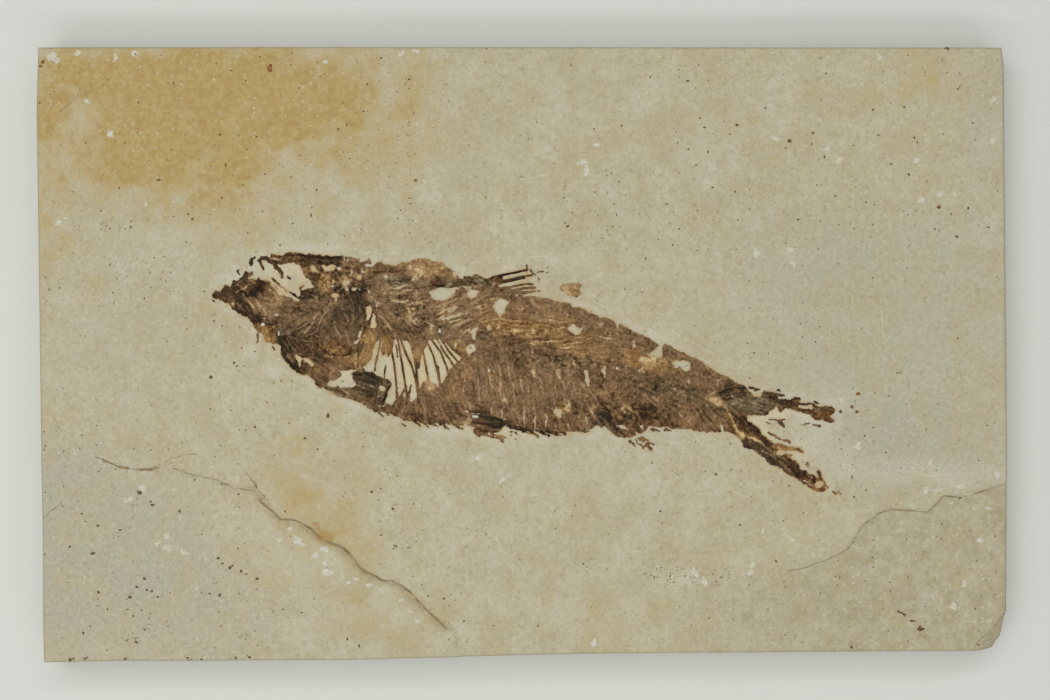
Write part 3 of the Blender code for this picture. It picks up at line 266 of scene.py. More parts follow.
# Dark mineral specks: x, y, radius, rust from 0 to 1
SPECKS = [
    (158.5, 180, 1.6, 0.4), (119, 188, 1.1, 0.4), (125, 143, 1, 0.6), (299, 88, 0.9, 0.2),
    (270, 68, 3.4, 1), (220, 135, 1.4, 0.5), (247, 149.6, 0.8, 0.3), (186, 242, 0.9, 0.2),
    (280, 245, 1, 0.4), (214, 321, 1, 0.2), (222, 326, 0.9, 0.2), (234, 362.6, 1.3, 0.2),
    (237, 366, 1, 0.3), (216, 356, 0.7, 0.2), (211, 377, 2, 0), (255, 351.5, 1, 0.2),
    (244, 366, 0.7, 0.2), (281, 381, 0.9, 0.2), (292, 381, 0.8, 0.2), (238, 371, 0.7, 0.2),
    (210, 409, 1, 0.2), (255, 427, 1.1, 0.2), (328, 416, 2.6, 1), (305, 438, 1.4, 0.5),
    (840.7, 411.4, 1.8, 0.9), (852, 406.6, 1.6, 0.5), (857, 411.6, 1.6, 0.5), (858, 394, 1.9, 1),
    (875, 392.6, 0.8, 0.2), (873, 427.6, 0.8, 0.2), (852, 477, 1.3, 0.6), (854, 497, 1.2, 0.2),
    (652, 463, 1, 0.2), (672, 470.6, 0.8, 0.2), (754, 353, 1, 0.2), (737, 125, 1.9, 0.4),
    (789.6, 141, 2.2, 0.3), (813, 133, 1.5, 0.3), (812, 144, 1.1, 0.2), (700, 118, 1.1, 0.2),
    (708, 152, 1.2, 0.4), (735, 191.6, 1.2, 0), (616.5, 214.5, 0.9, 0), (696, 165, 1, 0.1),
    (568, 226, 1, 0.3), (594, 129, 0.9, 0), (798, 219.6, 1.2, 0), (817, 185, 0.9, 0),
    (740, 525, 1.1, 0.2), (840, 577.6, 1, 0.2), (852, 647.6, 1.5, 0), (979, 645, 1, 0.2),
    (776, 561.6, 1.1, 0), (140, 492.6, 2.1, 0), (151, 501.6, 1.5, 0), (153, 505, 1.7, 0),
    (82, 513.6, 1, 0.1), (180, 511, 1.6, 0.1), (92.6, 553.6, 2, 0), (98, 526, 1.4, 0.1),
    (81.6, 514, 0.8, 0), (69.6, 546.6, 1.3, 0), (144.6, 578.6, 1.7, 0), (137, 587, 1.4, 0),
    (147, 590, 1.2, 0), (152, 591, 1.4, 0.1), (130, 597, 1.7, 0), (158, 597, 1.2, 0),
    (98.6, 592, 1.5, 0.1), (220, 595, 1.7, 0), (218.6, 558, 1.7, 0.1), (222.6, 563, 1.2, 0.1),
    (230, 567, 1.7, 0.1), (233, 565.6, 1.2, 0.1), (241.6, 571, 1.4, 0.1), (246.6, 573.6, 1.1, 0),
    (257.4, 578.6, 1.6, 0.1), (239, 494, 1, 0.1), (195, 479.6, 0.9, 0), (285, 511.6, 1, 0.2),
    (960.4, 497.8, 1.9, 0.5), (43, 62, 1.9, 0.7), (41, 66, 1.6, 0.7), (40, 103, 1.2, 0),
    (135.6, 54, 1, 0), (260, 57, 1.1, 0.1), (381, 58, 1.1, 0), (946, 48.6, 2, 0.2),
    (948, 49, 1.6, 0.2), (70, 660, 1.6, 0.1), (85, 659, 1.2, 0.1),
    (125, 658.6, 1.1, 0.1), (136, 641.6, 1.3, 0.1), (188, 657.6, 1.4, 0.1), (202, 659, 1.1, 0.1),
    (236, 657.6, 1.3, 0), (250, 657, 1.2, 0), (258, 645, 0.9, 0), (120, 530, 1.3, 0),
    (938.7, 207.3, 2.1, 0.8), (765.3, 108, 1.2, 0.1), (704.3, 127.3, 1.1, 0.4), (873, 109.7, 1.2, 0.1),
    (904.3, 107.3, 1.1, 0.1), (826, 73.3, 1.2, 0.1), (824.7, 156.7, 1.2, 0.1), (866, 202.3, 1.2, 0.1),
    (909, 174.3, 1.5, 0.1), (972.7, 123, 1.2, 0), (958, 89, 1.1, 0.1), (687.7, 81, 1.3, 0.1),
    (956.7, 236.7, 1.4, 0), (988.3, 227.3, 1.2, 0.1), (934.7, 229.3, 1.1, 0), (914.3, 137.7, 1.1, 0.1),
    (917.3, 142.7, 1, 0.1), (878.3, 135, 1, 0), (891, 164, 1, 0), (968.3, 208.3, 1.3, 0),
    (951.3, 214, 1.2, 0.1), (688.3, 149.3, 1, 0), (712.7, 187.3, 1.1, 0), (666.7, 204, 1, 0.1),
    (737.7, 220, 0.9, 0.1), (621.7, 125.7, 1, 0.1), (567.3, 226.7, 1.1, 0.1), (650, 77.3, 1, 0.2),
    (192.3, 219.3, 1.4, 0.1), (188.3, 214.3, 1.1, 0.1), (311, 215.3, 1.3, 0.2), (416, 180.3, 1.6, 0.3),
    (222, 197.7, 1, 0.5), (346.7, 124.7, 1, 0.1), (338.3, 129.3, 1.1, 0.1), (363.3, 111, 1, 0.1),
    (367.3, 84.3, 1, 0), (245.7, 80.7, 0.9, 0.2), (225.7, 165, 1.6, 0.9), (265, 174, 1, 0.6),
    (130.7, 227.3, 1.2, 0), (292.7, 223.3, 1, 0.1), (316.7, 190, 1, 0.2), (243.3, 185, 1, 0.6),
    (409, 79.3, 1.3, 0.3), (371.7, 492, 1.4, 0.1), (392.7, 509, 1.4, 0), (381, 535, 1.1, 0),
    (444, 598.7, 1.4, 0), (428.3, 596, 1, 0), (464, 621.3, 1.1, 0.1), (359.3, 645.7, 1.4, 0),
    (347.3, 639, 1.2, 0), (283.3, 609, 1.1, 0.2), (302.3, 612.3, 1.1, 0.2), (317.3, 449.3, 1, 0.1),
    (305, 438.3, 1.3, 0.1), (254.7, 426.7, 1.1, 0.2), (716, 474.3, 1.4, 0.1), (660, 511.3, 1.1, 0.1),
    (978.3, 460.7, 1.3, 0.1), (127.7, 609.3, 1, 0), (133.3, 616, 1, 0), (107.3, 609, 1, 0),
    (83.3, 632.7, 1.3, 0), (90, 626, 1, 0), (210, 593.3, 1.1, 0.1), (238.3, 548.3, 0.9, 0.2),
]
SPECK_SIDES = 8
SPECK_CROWN = 0.05 * MILLIMETRE
SPECK_SHOULDER = 0.02 * MILLIMETRE
SPECK_ROOT = 0.12 * MILLIMETRE
CLEAR_OF_FISH = 9

# Loose brown splinters: width and path
SPLINTER_SPAN = (892, 604, 932, 638)
SPLINTER_HEIGHT = 0.06 * MILLIMETRE
SPLINTERS = [
    (1.8, [(898.4, 611.4), (903, 613.6)]), (1.6, [(903, 613.6), (906, 616)]),
    (1.8, [(911.6, 621), (915.6, 622)]), (2.2, [(919, 629.6), (921, 627)]),
    (1.8, [(920, 630.6), (924, 629)]),
]
# Patches with many fine specks: left, right, top, bottom, count
SPECKLED = [
    (45, 330, 60, 240, 150), (100, 175, 255, 300, 46), (45, 110, 275, 300, 16), (560, 700, 160, 260, 110),
    (642, 732, 566, 586, 90), (143, 150, 623, 631, 14), (131, 138, 637, 644, 9), (239, 247, 631, 639, 9),
    (66, 75, 657, 660, 9), (80, 90, 657, 660, 9), (122, 130, 657, 660, 7), (185, 194, 657, 660, 7),
    (246, 254, 654, 657, 6), (128, 134, 592, 598, 8), (136, 142, 488, 495, 8), (113, 121, 531, 539, 8),
    (393, 400, 545, 551, 7), (406, 413, 541, 548, 7), (54, 62, 421, 431, 8), (42, 49, 444, 455, 8),
    (405, 411, 75, 240, 40), (335, 350, 150, 165, 12), (100, 112, 210, 235, 14), (110, 180, 560, 650, 26),
    (60, 190, 490, 650, 30), (700, 1000, 60, 420, 110), (330, 700, 60, 240, 60),
    (700, 1000, 420, 480, 30), (460, 760, 450, 650, 50), (205, 300, 310, 450, 26),
    (200, 460, 520, 650, 34), (745, 900, 425, 500, 34), (50, 400, 300, 470, 36),
    (850, 1000, 520, 650, 24),
]

# The fish

# Lie of the bone and scale grain: x, y, run to the right, run down, strength
GRAIN = [
    (222, 294, 10, 3, 0.7), (240, 300, 7, 7, 0.8), (256, 318, 5, 8, 0.5), (262, 290, 6, 6, 0.2),
    (284, 308, 10, -1, 0.3), (300, 326, 8, -6, 0.7), (290, 352, 6, 8, 0.9), (318, 372, 8, 5, 0.4),
    (340, 392, 10, 4, 0.4), (300, 256, 10, 0.4, 0.9), (330, 258, 10, 0.6, 0.9), (330, 280, 6, 4, 0.1),
    (345, 305, 3, 9, 0.3), (345, 335, 1, 10, 0.3), (328, 345, 8, 4, 0.3), (364, 345, -3, 10, 0.4),
    (372, 378, 10, 3, 0.3), (386, 395, -3, 9, 0.6), (380, 270, 10, 1, 0.3), (400, 276, 10, -1, 0.4),
    (430, 268, 10, 2, 0.2), (450, 280, 9, 3, 0.3), (385, 290, 10, -2, 0.6), (400, 300, 10, 0, 0.6),
    (425, 296, 10, -3, 0.6), (450, 308, 8, -4, 0.8), (470, 296, 8, -5, 0.7), (390, 318, 8, 8, 0.4),
    (405, 325, 7, 7, 0.4), (425, 330, 9, -3, 0.3), (450, 320, 9, -4, 0.7), (480, 312, 9, -3, 0.6),
    (510, 300, 10, 1, 0.15), (545, 305, 10, 3, 0.1), (590, 322, 9, 4, 0.1), (500, 324, 10, 0, 0.7),
    (540, 334, 10, -1, 0.9), (570, 340, 10, -2, 0.9), (600, 346, 10, 0, 0.6), (660, 366, 9, 4, 0.4),
    (700, 372, 9, 5, 0.15), (480, 345, 9, 2, 0.4), (520, 352, 9, 2, 0.2), (560, 360, 9, 3, 0.1),
    (600, 368, 9, 3, 0.15), (640, 380, 9, 4, 0.2), (680, 396, 9, 4, 0.5), (440, 400, 3, 9, 0.4),
    (470, 385, 2, 10, 0.4), (490, 385, 2.4, 10, 0.45), (505, 390, 2, 10, 0.45), (525, 395, 2.6, 10, 0.45),
    (545, 400, 2.8, 10, 0.4), (565, 400, 3.4, 9, 0.35), (585, 400, 4, 9, 0.35), (610, 392, 7, 7, 0.3),
    (640, 404, 7, 8, 0.2), (670, 412, 8, 7, 0.2), (700, 420, 8, 8, 0.2), (480, 420, 10, 1.6, 0.8),
    (500, 426, 10, 1.6, 0.8), (610, 424, 6, 7, 0.9), (630, 420, 6, 9, 0.6), (722, 396, 10, -4, 0.7),
    (745, 400, 10, 1.6, 0.9), (775, 400, 10, 2, 0.7), (810, 408, 10, 2, 0.7), (728, 415, 6, 8, 0.5),
    (750, 434, 8, 7, 0.5), (755, 448, 8, 6.4, 1), (778, 462, 8, 6.4, 1), (800, 474, 8, 6, 0.8),
    (470, 280, 10, 2.4, 0.5), (500, 280, 10, -2, 0.8), (520, 288, 10, -1, 0.3), (715, 412, 7, 8, 0.6),
]
# Where bone is broken small and stained unevenly: x, y, half width, half height, strength
BROKEN = [
    (338, 279, 28, 18, 1.3), (270, 334, 9, 9, 1.0), (262, 300, 12, 12, 0.4), (432, 271, 26, 9, 0.6),
    (400, 300, 30, 18, 0.55), (420, 320, 30, 14, 0.8), (478, 281, 18, 7, 1.1), (560, 362, 70, 9, 0.7),
    (660, 388, 40, 8, 0.7),
    (645, 412, 30, 10, 0.7), (620, 405, 26, 14, 0.5), (808, 476, 14, 9, 0.8), (745, 424, 12, 10, 0.5),
    (305, 362, 12, 12, 0.5), (490, 330, 26, 14, 0.5), (335, 350, 20, 8, 0.6), (280, 258, 12, 6, 0.4),
]
# Where thin bones keep their smooth edges: x, y, half width, half height
SMOOTH_BONES = [(432, 362, 62, 44), (520, 275, 34, 16), (600, 424, 12, 14)]

# Local colour: x, y, reach, tone from 0 (black) to 1 (tan), and from -1 (olive) to 1 (rust)
TONES = [
    (218, 294, 8, 0.17, -0.3), (232, 284, 8, 0.15, -0.3), (243, 276, 6, 0.12, -0.4),
    (236, 300, 8, 0.22, -0.2), (246, 312, 7, 0.17, -0.2), (222, 302, 6, 0.20, -0.1),
    (258, 288, 6, 0.08, 0.1), (246, 286, 5, 0.34, -0.1), (250, 280, 4, 0.55, 0.0),
    (270, 289, 5, 0.48, 0.1), (262, 303, 6, 0.62, 0.05), (272, 303, 5, 0.58, 0.1),
    (256, 308, 5, 0.54, 0.0), (281, 296, 4, 0.66, 0.2), (268, 312, 5, 0.55, 0.05),
    (285, 312, 7, 0.44, -0.2), (300, 318, 8, 0.46, -0.2), (290, 326, 7, 0.38, -0.2),
    (315, 306, 7, 0.40, -0.2), (278, 320, 5, 0.34, -0.1), (257, 318, 5, 0.16, -0.3),
    (262, 326, 5, 0.40, 0.5), (270, 336, 6, 0.50, 0.6), (276, 330, 4, 0.40, 0.3),
    (290, 338, 7, 0.20, -0.5), (286, 350, 6, 0.18, -0.5), (302, 334, 7, 0.26, -0.3),
    (315, 330, 8, 0.28, -0.3), (312, 345, 8, 0.26, -0.1), (300, 352, 6, 0.32, 0.3),
    (330, 348, 7, 0.40, 0.7), (343, 350, 6, 0.38, 0.5), (320, 358, 6, 0.26, -0.1),
    (296, 366, 6, 0.16, -0.3), (306, 374, 6, 0.38, 0.3), (318, 368, 7, 0.42, 0.2),
    (326, 378, 6, 0.34, 0.1), (310, 382, 5, 0.22, -0.2), (330, 392, 6, 0.30, -0.3),
    (345, 392, 8, 0.36, -0.3), (360, 400, 7, 0.34, -0.3), (276, 256, 6, 0.22, 0.3),
    (290, 254, 6, 0.22, 0.4), (305, 257, 8, 0.16, 0.1), (330, 259, 9, 0.12, -0.3),
    (262, 262, 5, 0.18, -0.2), (275, 268, 5, 0.18, -0.2), (284, 272, 4, 0.22, -0.2),
    (306, 272, 5, 0.44, 0.5), (302, 287, 4, 0.42, 0.9), (316, 270, 5, 0.44, 0.0),
    (326, 276, 6, 0.52, 0.3), (320, 284, 5, 0.54, 0.4), (333, 268, 5, 0.62, 0.1),
    (345, 266, 6, 0.42, 0.0), (352, 262, 6, 0.52, 0.2), (340, 280, 6, 0.56, 0.1),
    (352, 276, 5, 0.60, 0.3), (330, 292, 6, 0.52, 0.3), (342, 290, 5, 0.45, -0.1),
    (312, 292, 6, 0.26, -0.3), (300, 294, 5, 0.22, -0.3), (352, 296, 9, 0.14, -0.5),
    (343, 308, 8, 0.30, -0.4), (356, 312, 7, 0.22, -0.5), (332, 304, 6, 0.40, -0.3),
    (338, 326, 8, 0.36, -0.3), (350, 332, 7, 0.32, -0.4), (325, 316, 6, 0.38, -0.2),
    (330, 336, 7, 0.32, -0.1), (360, 345, 5, 0.32, -0.2), (364, 338, 6, 0.52, 0.8),
    (368, 356, 7, 0.54, 0.8), (362, 366, 5, 0.52, 0.7), (386, 346, 6, 0.50, 0.7),
    (380, 338, 4, 0.46, 0.4), (370, 377, 8, 0.16, -0.7), (382, 390, 6, 0.22, -0.5),
    (358, 376, 5, 0.22, -0.5), (375, 268, 7, 0.42, 0.1), (388, 270, 7, 0.44, 0.0),
    (387, 279, 5, 0.70, -0.6), (402, 280, 5, 0.42, -0.6), (400, 268, 6, 0.48, 0.2),
    (416, 272, 6, 0.85, 0.1), (410, 264, 5, 0.56, 0.3), (428, 264, 6, 0.68, 0.5),
    (440, 268, 7, 0.64, 0.5), (452, 274, 5, 0.58, 0.3), (420, 280, 5, 0.48, -0.5),
    (436, 281, 6, 0.32, 0.1), (450, 284, 5, 0.36, -0.7), (460, 279, 5, 0.32, -0.4),
    (385, 298, 8, 0.54, -0.2), (405, 296, 8, 0.56, -0.15), (420, 306, 8, 0.56, -0.1),
    (400, 318, 9, 0.53, -0.15), (424, 322, 8, 0.55, -0.3), (440, 330, 7, 0.50, -0.3),
    (412, 336, 7, 0.45, 0.2), (396, 332, 6, 0.46, 0.0), (448, 310, 8, 0.56, -0.1),
    (470, 300, 8, 0.56, -0.1), (462, 325, 8, 0.50, -0.2), (478, 334, 7, 0.48, -0.2),
    (458, 345, 6, 0.60, 0.3), (470, 318, 6, 0.54, 0.1), (490, 290, 8, 0.44, -0.2),
    (482, 302, 7, 0.58, 0.3), (500, 305, 7, 0.54, 0.1), (515, 290, 8, 0.42, -0.4),
    (540, 296, 9, 0.54, 0.0), (560, 303, 8, 0.52, 0.0), (585, 315, 9, 0.50, 0.0),
    (605, 330, 9, 0.50, 0.0), (625, 342, 8, 0.50, 0.0), (645, 350, 8, 0.50, 0.0),
    (500, 325, 8, 0.50, 0.6), (520, 326, 8, 0.53, 0.6), (540, 330, 8, 0.53, 0.6),
    (560, 335, 8, 0.51, 0.6), (585, 346, 8, 0.52, 0.6), (600, 350, 7, 0.50, 0.4),
    (570, 325, 7, 0.54, 0.3), (545, 316, 7, 0.56, 0.3), (520, 312, 7, 0.56, 0.2),
    (490, 318, 7, 0.52, 0.5), (510, 340, 7, 0.44, 0.2), (540, 344, 7, 0.45, 0.3),
    (480, 345, 6, 0.42, -0.2), (500, 352, 8, 0.45, -0.3), (520, 355, 8, 0.45, -0.3),
    (545, 360, 8, 0.45, -0.3), (565, 364, 8, 0.43, -0.3), (590, 370, 8, 0.42, -0.3),
    (615, 375, 8, 0.42, -0.2), (640, 380, 8, 0.40, -0.4), (665, 386, 8, 0.38, -0.5),
    (690, 395, 8, 0.40, -0.5), (630, 356, 6, 0.52, 0.7), (648, 362, 6, 0.64, 0.8),
    (660, 368, 7, 0.50, 0.5), (676, 368, 6, 0.52, 0.4), (610, 364, 6, 0.44, 0.4),
    (672, 352, 7, 0.44, -0.1), (690, 366, 8, 0.48, 0.0), (715, 380, 8, 0.44, 0.0),
    (700, 382, 7, 0.48, 0.1), (735, 390, 6, 0.32, -0.3), (460, 375, 8, 0.52, 0.4),
    (455, 390, 8, 0.50, 0.3), (470, 390, 9, 0.50, 0.0), (485, 380, 9, 0.52, 0.0),
    (500, 385, 10, 0.50, -0.1), (520, 380, 9, 0.50, -0.1), (540, 385, 10, 0.50, -0.1),
    (560, 390, 9, 0.50, -0.1), (580, 390, 9, 0.48, -0.1), (520, 400, 10, 0.48, -0.1),
    (545, 410, 9, 0.46, -0.1), (500, 410, 8, 0.46, 0.0), (535, 425, 8, 0.40, -0.1),
    (560, 425, 8, 0.42, 0.0), (585, 415, 8, 0.44, 0.0), (440, 400, 9, 0.44, 0.0),
    (420, 356, 4, 0.56, 0.5), (431, 385, 5, 0.74, 0.4),
    (398, 365, 8, 0.24, 0.2), (408, 378, 6, 0.24, 0.2), (432, 362, 6, 0.26, 0.2), (450, 355, 6, 0.26, 0.1),
    (440, 350, 5, 0.28, 0.2), (386, 372, 4, 0.26, 0.2), (333, 376, 4, 0.52, 0.1),
    (425, 402, 8, 0.40, 0.0), (400, 404, 6, 0.38, 0.1), (450, 414, 8, 0.38, -0.1),
    (430, 412, 7, 0.36, -0.1), (520, 431, 4, 0.18, -0.2), (545, 434, 4, 0.18, -0.2),
    (565, 434, 4, 0.22, -0.2), (445, 424, 4, 0.22, -0.1), (420, 418, 4, 0.22, -0.1),
    (600, 395, 9, 0.46, 0.1), (615, 405, 8, 0.44, 0.2), (625, 392, 8, 0.46, 0.1),
    (645, 395, 8, 0.44, -0.1), (635, 412, 6, 0.32, 0.1), (650, 412, 6, 0.30, 0.1),
    (662, 416, 6, 0.34, 0.1), (665, 402, 8, 0.44, 0.0), (690, 410, 9, 0.48, 0.0),
    (710, 420, 8, 0.48, 0.1), (690, 425, 7, 0.50, 0.2), (718, 428, 5, 0.44, 0.2),
    (708, 408, 6, 0.38, -0.2), (720, 415, 6, 0.34, -0.3), (600, 418, 5, 0.22, -0.4),
    (612, 430, 5, 0.26, -0.3), (606, 412, 5, 0.24, -0.3), (628, 420, 5, 0.28, -0.1),
    (636, 426, 5, 0.34, 0.2), (714, 402, 4, 0.80, 0.6), (728, 392, 6, 0.22, -0.4),
    (740, 390, 6, 0.18, -0.5), (745, 400, 8, 0.40, -0.7), (760, 404, 8, 0.42, -0.7),
    (735, 404, 7, 0.42, -0.6), (772, 396, 6, 0.24, -0.3), (786, 400, 6, 0.18, 0.3),
    (800, 402, 6, 0.22, 0.4), (812, 412, 6, 0.18, 0.3), (828, 412, 7, 0.20, 0.4),
    (728, 414, 5, 0.38, 0.5), (738, 420, 6, 0.26, 0.3), (750, 430, 7, 0.30, 0.4),
    (760, 438, 6, 0.24, 0.3), (743, 434.6, 3, 0.82, 0.9), (754, 439, 2.5, 0.75, 0.8),
    (752, 444, 6, 0.22, -0.5),
    (765, 452, 6, 0.24, -0.6), (778, 462, 7, 0.24, -0.5), (776, 448, 5, 0.32, 0.2),
    (790, 446, 6, 0.42, 0.7), (802, 450, 4, 0.44, 0.8), (790, 458, 6, 0.32, 0.5),
    (800, 470, 6, 0.22, 0.2), (810, 478, 6, 0.26, 0.4), (824, 482, 5, 0.38, 0.7),
    (816, 490, 5, 0.30, 0.5), (832, 494, 4, 0.42, 0.7), (466, 279, 7, 0.30, -0.5),
    (485, 282, 8, 0.32, -0.6), (500, 276, 8, 0.28, 0.3), (515, 272, 8, 0.26, 0.4),
    (520, 282, 8, 0.32, -0.2), (535, 272, 5, 0.26, 0.2), (568, 288, 6, 0.72, 0.3),
    (576, 291, 4, 0.60, 0.3), (478, 418, 5, 0.22, -0.5), (490, 420, 6, 0.16, -0.6),
    (500, 424, 5, 0.22, -0.4), (480, 426, 5, 0.30, 0.3), (495, 432, 5, 0.38, 0.6),
    (470, 421, 3, 0.80, 0.3),
]

# Dark marks on the bone and scale: width and path
DARK_LINES = [
    (2.4, [(216, 299), (226, 303), (236, 309), (246, 314)]),
    (2.2, [(245, 296), (256, 292), (262, 286)]), (2.0, [(240, 291), (250, 294), (262, 300)]),
    (2.2, [(262, 290), (264, 300), (270, 302)]), (2.0, [(247, 304), (254, 314), (262, 322)]),
    (2.2, [(250, 322), (260, 321), (270, 325), (278, 322)]),
    (2.0, [(279, 336), (282, 350), (290, 362), (297, 368)]),
    (2.4, [(284, 336), (292, 352), (300, 362)]), (1.4, [(286, 334), (294, 344), (300, 352)]),
    (1.8, [(298, 327), (306, 322), (312, 326)]), (2.0, [(316, 344), (326, 352), (338, 357), (350, 354)]),
    (1.2, [(286, 313), (298, 310), (310, 313)]), (1.2, [(286, 306), (296, 309), (306, 306)]),
    (2.4, [(300, 291.6), (312, 292.6)]), (2.6, [(290, 294), (302, 297), (315, 298)]),
    (1.4, [(270, 256), (300, 256), (340, 258.6)]), (1.2, [(300, 262), (316, 261), (332, 262.6)]),
    (2.0, [(316, 268), (324, 271)]), (1.6, [(343, 290), (356, 291), (366, 292)]),
    (1.6, [(352, 278), (355, 284), (357, 288)]), (1.4, [(360, 282), (366, 279), (373, 277)]),
    (1.2, [(371, 314), (366, 327), (358, 345), (357.6, 368)]),
    (1.2, [(372, 330), (380, 345)]), (1.2, [(380, 322), (392, 334), (396, 342)]),
    (2.0, [(352, 375), (366, 374), (380, 380)]), (1.8, [(389, 386), (385, 398), (382, 404)]),
    (1.0, [(384, 281.6), (398, 281), (412, 280)]), (1.2, [(372, 272), (390, 272), (404, 270.6)]),
    (2.4, [(430, 283), (438, 286), (448, 285)]), (1.2, [(396, 288), (412, 285.4)]),
    (1.0, [(374, 308), (390, 310), (400, 316)]), (1.2, [(425, 319), (430, 318.6)]),
    (1.6, [(424, 323), (430, 325.4)]), (1.0, [(446, 303), (460, 294), (466, 290)]),
    (1.0, [(436, 318), (452, 309), (458, 305)]), (1.0, [(440, 323), (458, 319), (470, 316)]),
    (1.0, [(458, 330), (470, 322), (480, 318)]), (1.0, [(500, 322), (520, 324), (540, 322)]),
    (1.0, [(490, 336), (520, 340), (552, 338)]), (1.0, [(566, 332), (590, 340), (612, 344)]),
    (1.2, [(508, 350), (518, 353)]), (1.2, [(548, 358), (556, 359)]), (1.6, [(562, 365), (567, 366)]),
    (1.0, [(530, 350), (544, 356), (560, 356)]), (1.4, [(634, 381), (642, 382)]),
    (1.2, [(573, 400), (578, 415)]), (1.2, [(600, 372), (604, 380), (600, 388)]),
    (1.0, [(616, 368), (620, 380), (616, 392)]), (1.0, [(640, 372), (660, 380), (680, 390)]),
    (1.2, [(632, 408), (646, 410)]), (1.0, [(646, 415), (658, 419)]),
    (1.2, [(700, 407), (710, 420), (720, 432)]), (1.0, [(696, 408), (706, 424)]),
    (1.4, [(712, 396), (726, 390), (740, 388)]), (1.2, [(716, 401), (730, 398), (744, 404)]),
    (2.0, [(750, 388), (759, 390)]), (1.6, [(466, 417), (484, 416), (502, 420)]),
    (2.2, [(472, 422), (488, 424), (503, 428)]), (1.4, [(464, 428), (482, 430), (502, 431)]),
    (1.6, [(594, 410), (600, 420), (606, 427)]), (1.4, [(604, 414), (612, 424), (622, 434)]),
    (1.4, [(626, 410), (632, 420), (640, 428)]), (1.6, [(726, 410), (738, 418), (748, 428)]),
    (1.8, [(742, 416), (754, 427), (766, 440)]), (2.0, [(744, 446), (760, 454), (774, 464)]),
    (2.0, [(776, 456), (790, 468), (802, 478)]), (1.4, [(800, 472), (812, 480), (822, 490)]),
    (1.6, [(784, 396.6), (800, 399.6)]), (1.8, [(796, 402), (812, 405), (830, 407)]),
    (1.6, [(760, 396), (774, 398)]), (1.6, [(758, 410), (766, 414), (774, 410)]),
    (1.4, [(500, 276), (526, 270.4)]), (1.8, [(500, 282.6), (524, 278)]),
    (0.9, [(505, 318), (530, 320), (556, 326)]), (0.9, [(488, 330), (512, 333), (540, 331), (560, 327)]),
    (0.9, [(510, 345), (540, 341), (566, 338), (590, 336)]), (0.9, [(560, 343), (580, 341), (600, 343)]),
    (0.9, [(530, 326), (560, 329), (590, 333)]), (3.0, [(500, 424), (520, 429), (545, 432.6), (570, 434)]),
    (0.9, [(447, 306), (462, 296)]), (0.9, [(450, 312), (466, 303)]), (0.9, [(443, 325), (462, 318)]),
    (0.9, [(462, 330), (478, 322)]), (0.9, [(436, 300), (452, 290)]), (0.9, [(424, 303), (440, 297)]),
    (0.9, [(388, 276), (392, 288), (386, 296)]), (0.9, [(405, 310), (416, 322)]),
    (0.9, [(396, 320), (410, 334)]),
    (0.9, [(384, 316), (396, 330)]), (1.0, [(268, 286), (276, 292), (286, 298)]),
    (1.2, [(326, 262), (342, 264)]),
    (1.6, [(318, 262.6), (332, 265)]), (1.0, [(330, 286), (342, 283)]), (1.4, [(352, 268), (362, 276)]),
    (0.8, [(380, 292), (400, 290), (416, 284)]), (0.8, [(378, 297), (396, 297), (412, 294)]),
    (0.8, [(400, 304), (420, 300), (440, 291)]), (0.8, [(404, 308), (424, 306), (444, 298)]),
    (0.8, [(412, 330), (422, 326), (434, 328)]), (0.8, [(430, 312), (446, 307)]),
    (0.8, [(474, 306), (490, 299)]),
    (0.8, [(470, 312), (490, 308)]), (0.8, [(376, 322), (388, 338)]), (0.8, [(380, 318), (394, 336)]),
    (0.8, [(408, 326), (418, 338)]), (0.8, [(450, 340), (464, 336)]), (0.9, [(478, 294), (488, 288)]),
    (0.9, [(484, 298), (496, 290)]), (0.9, [(510, 296), (524, 293)]),
]
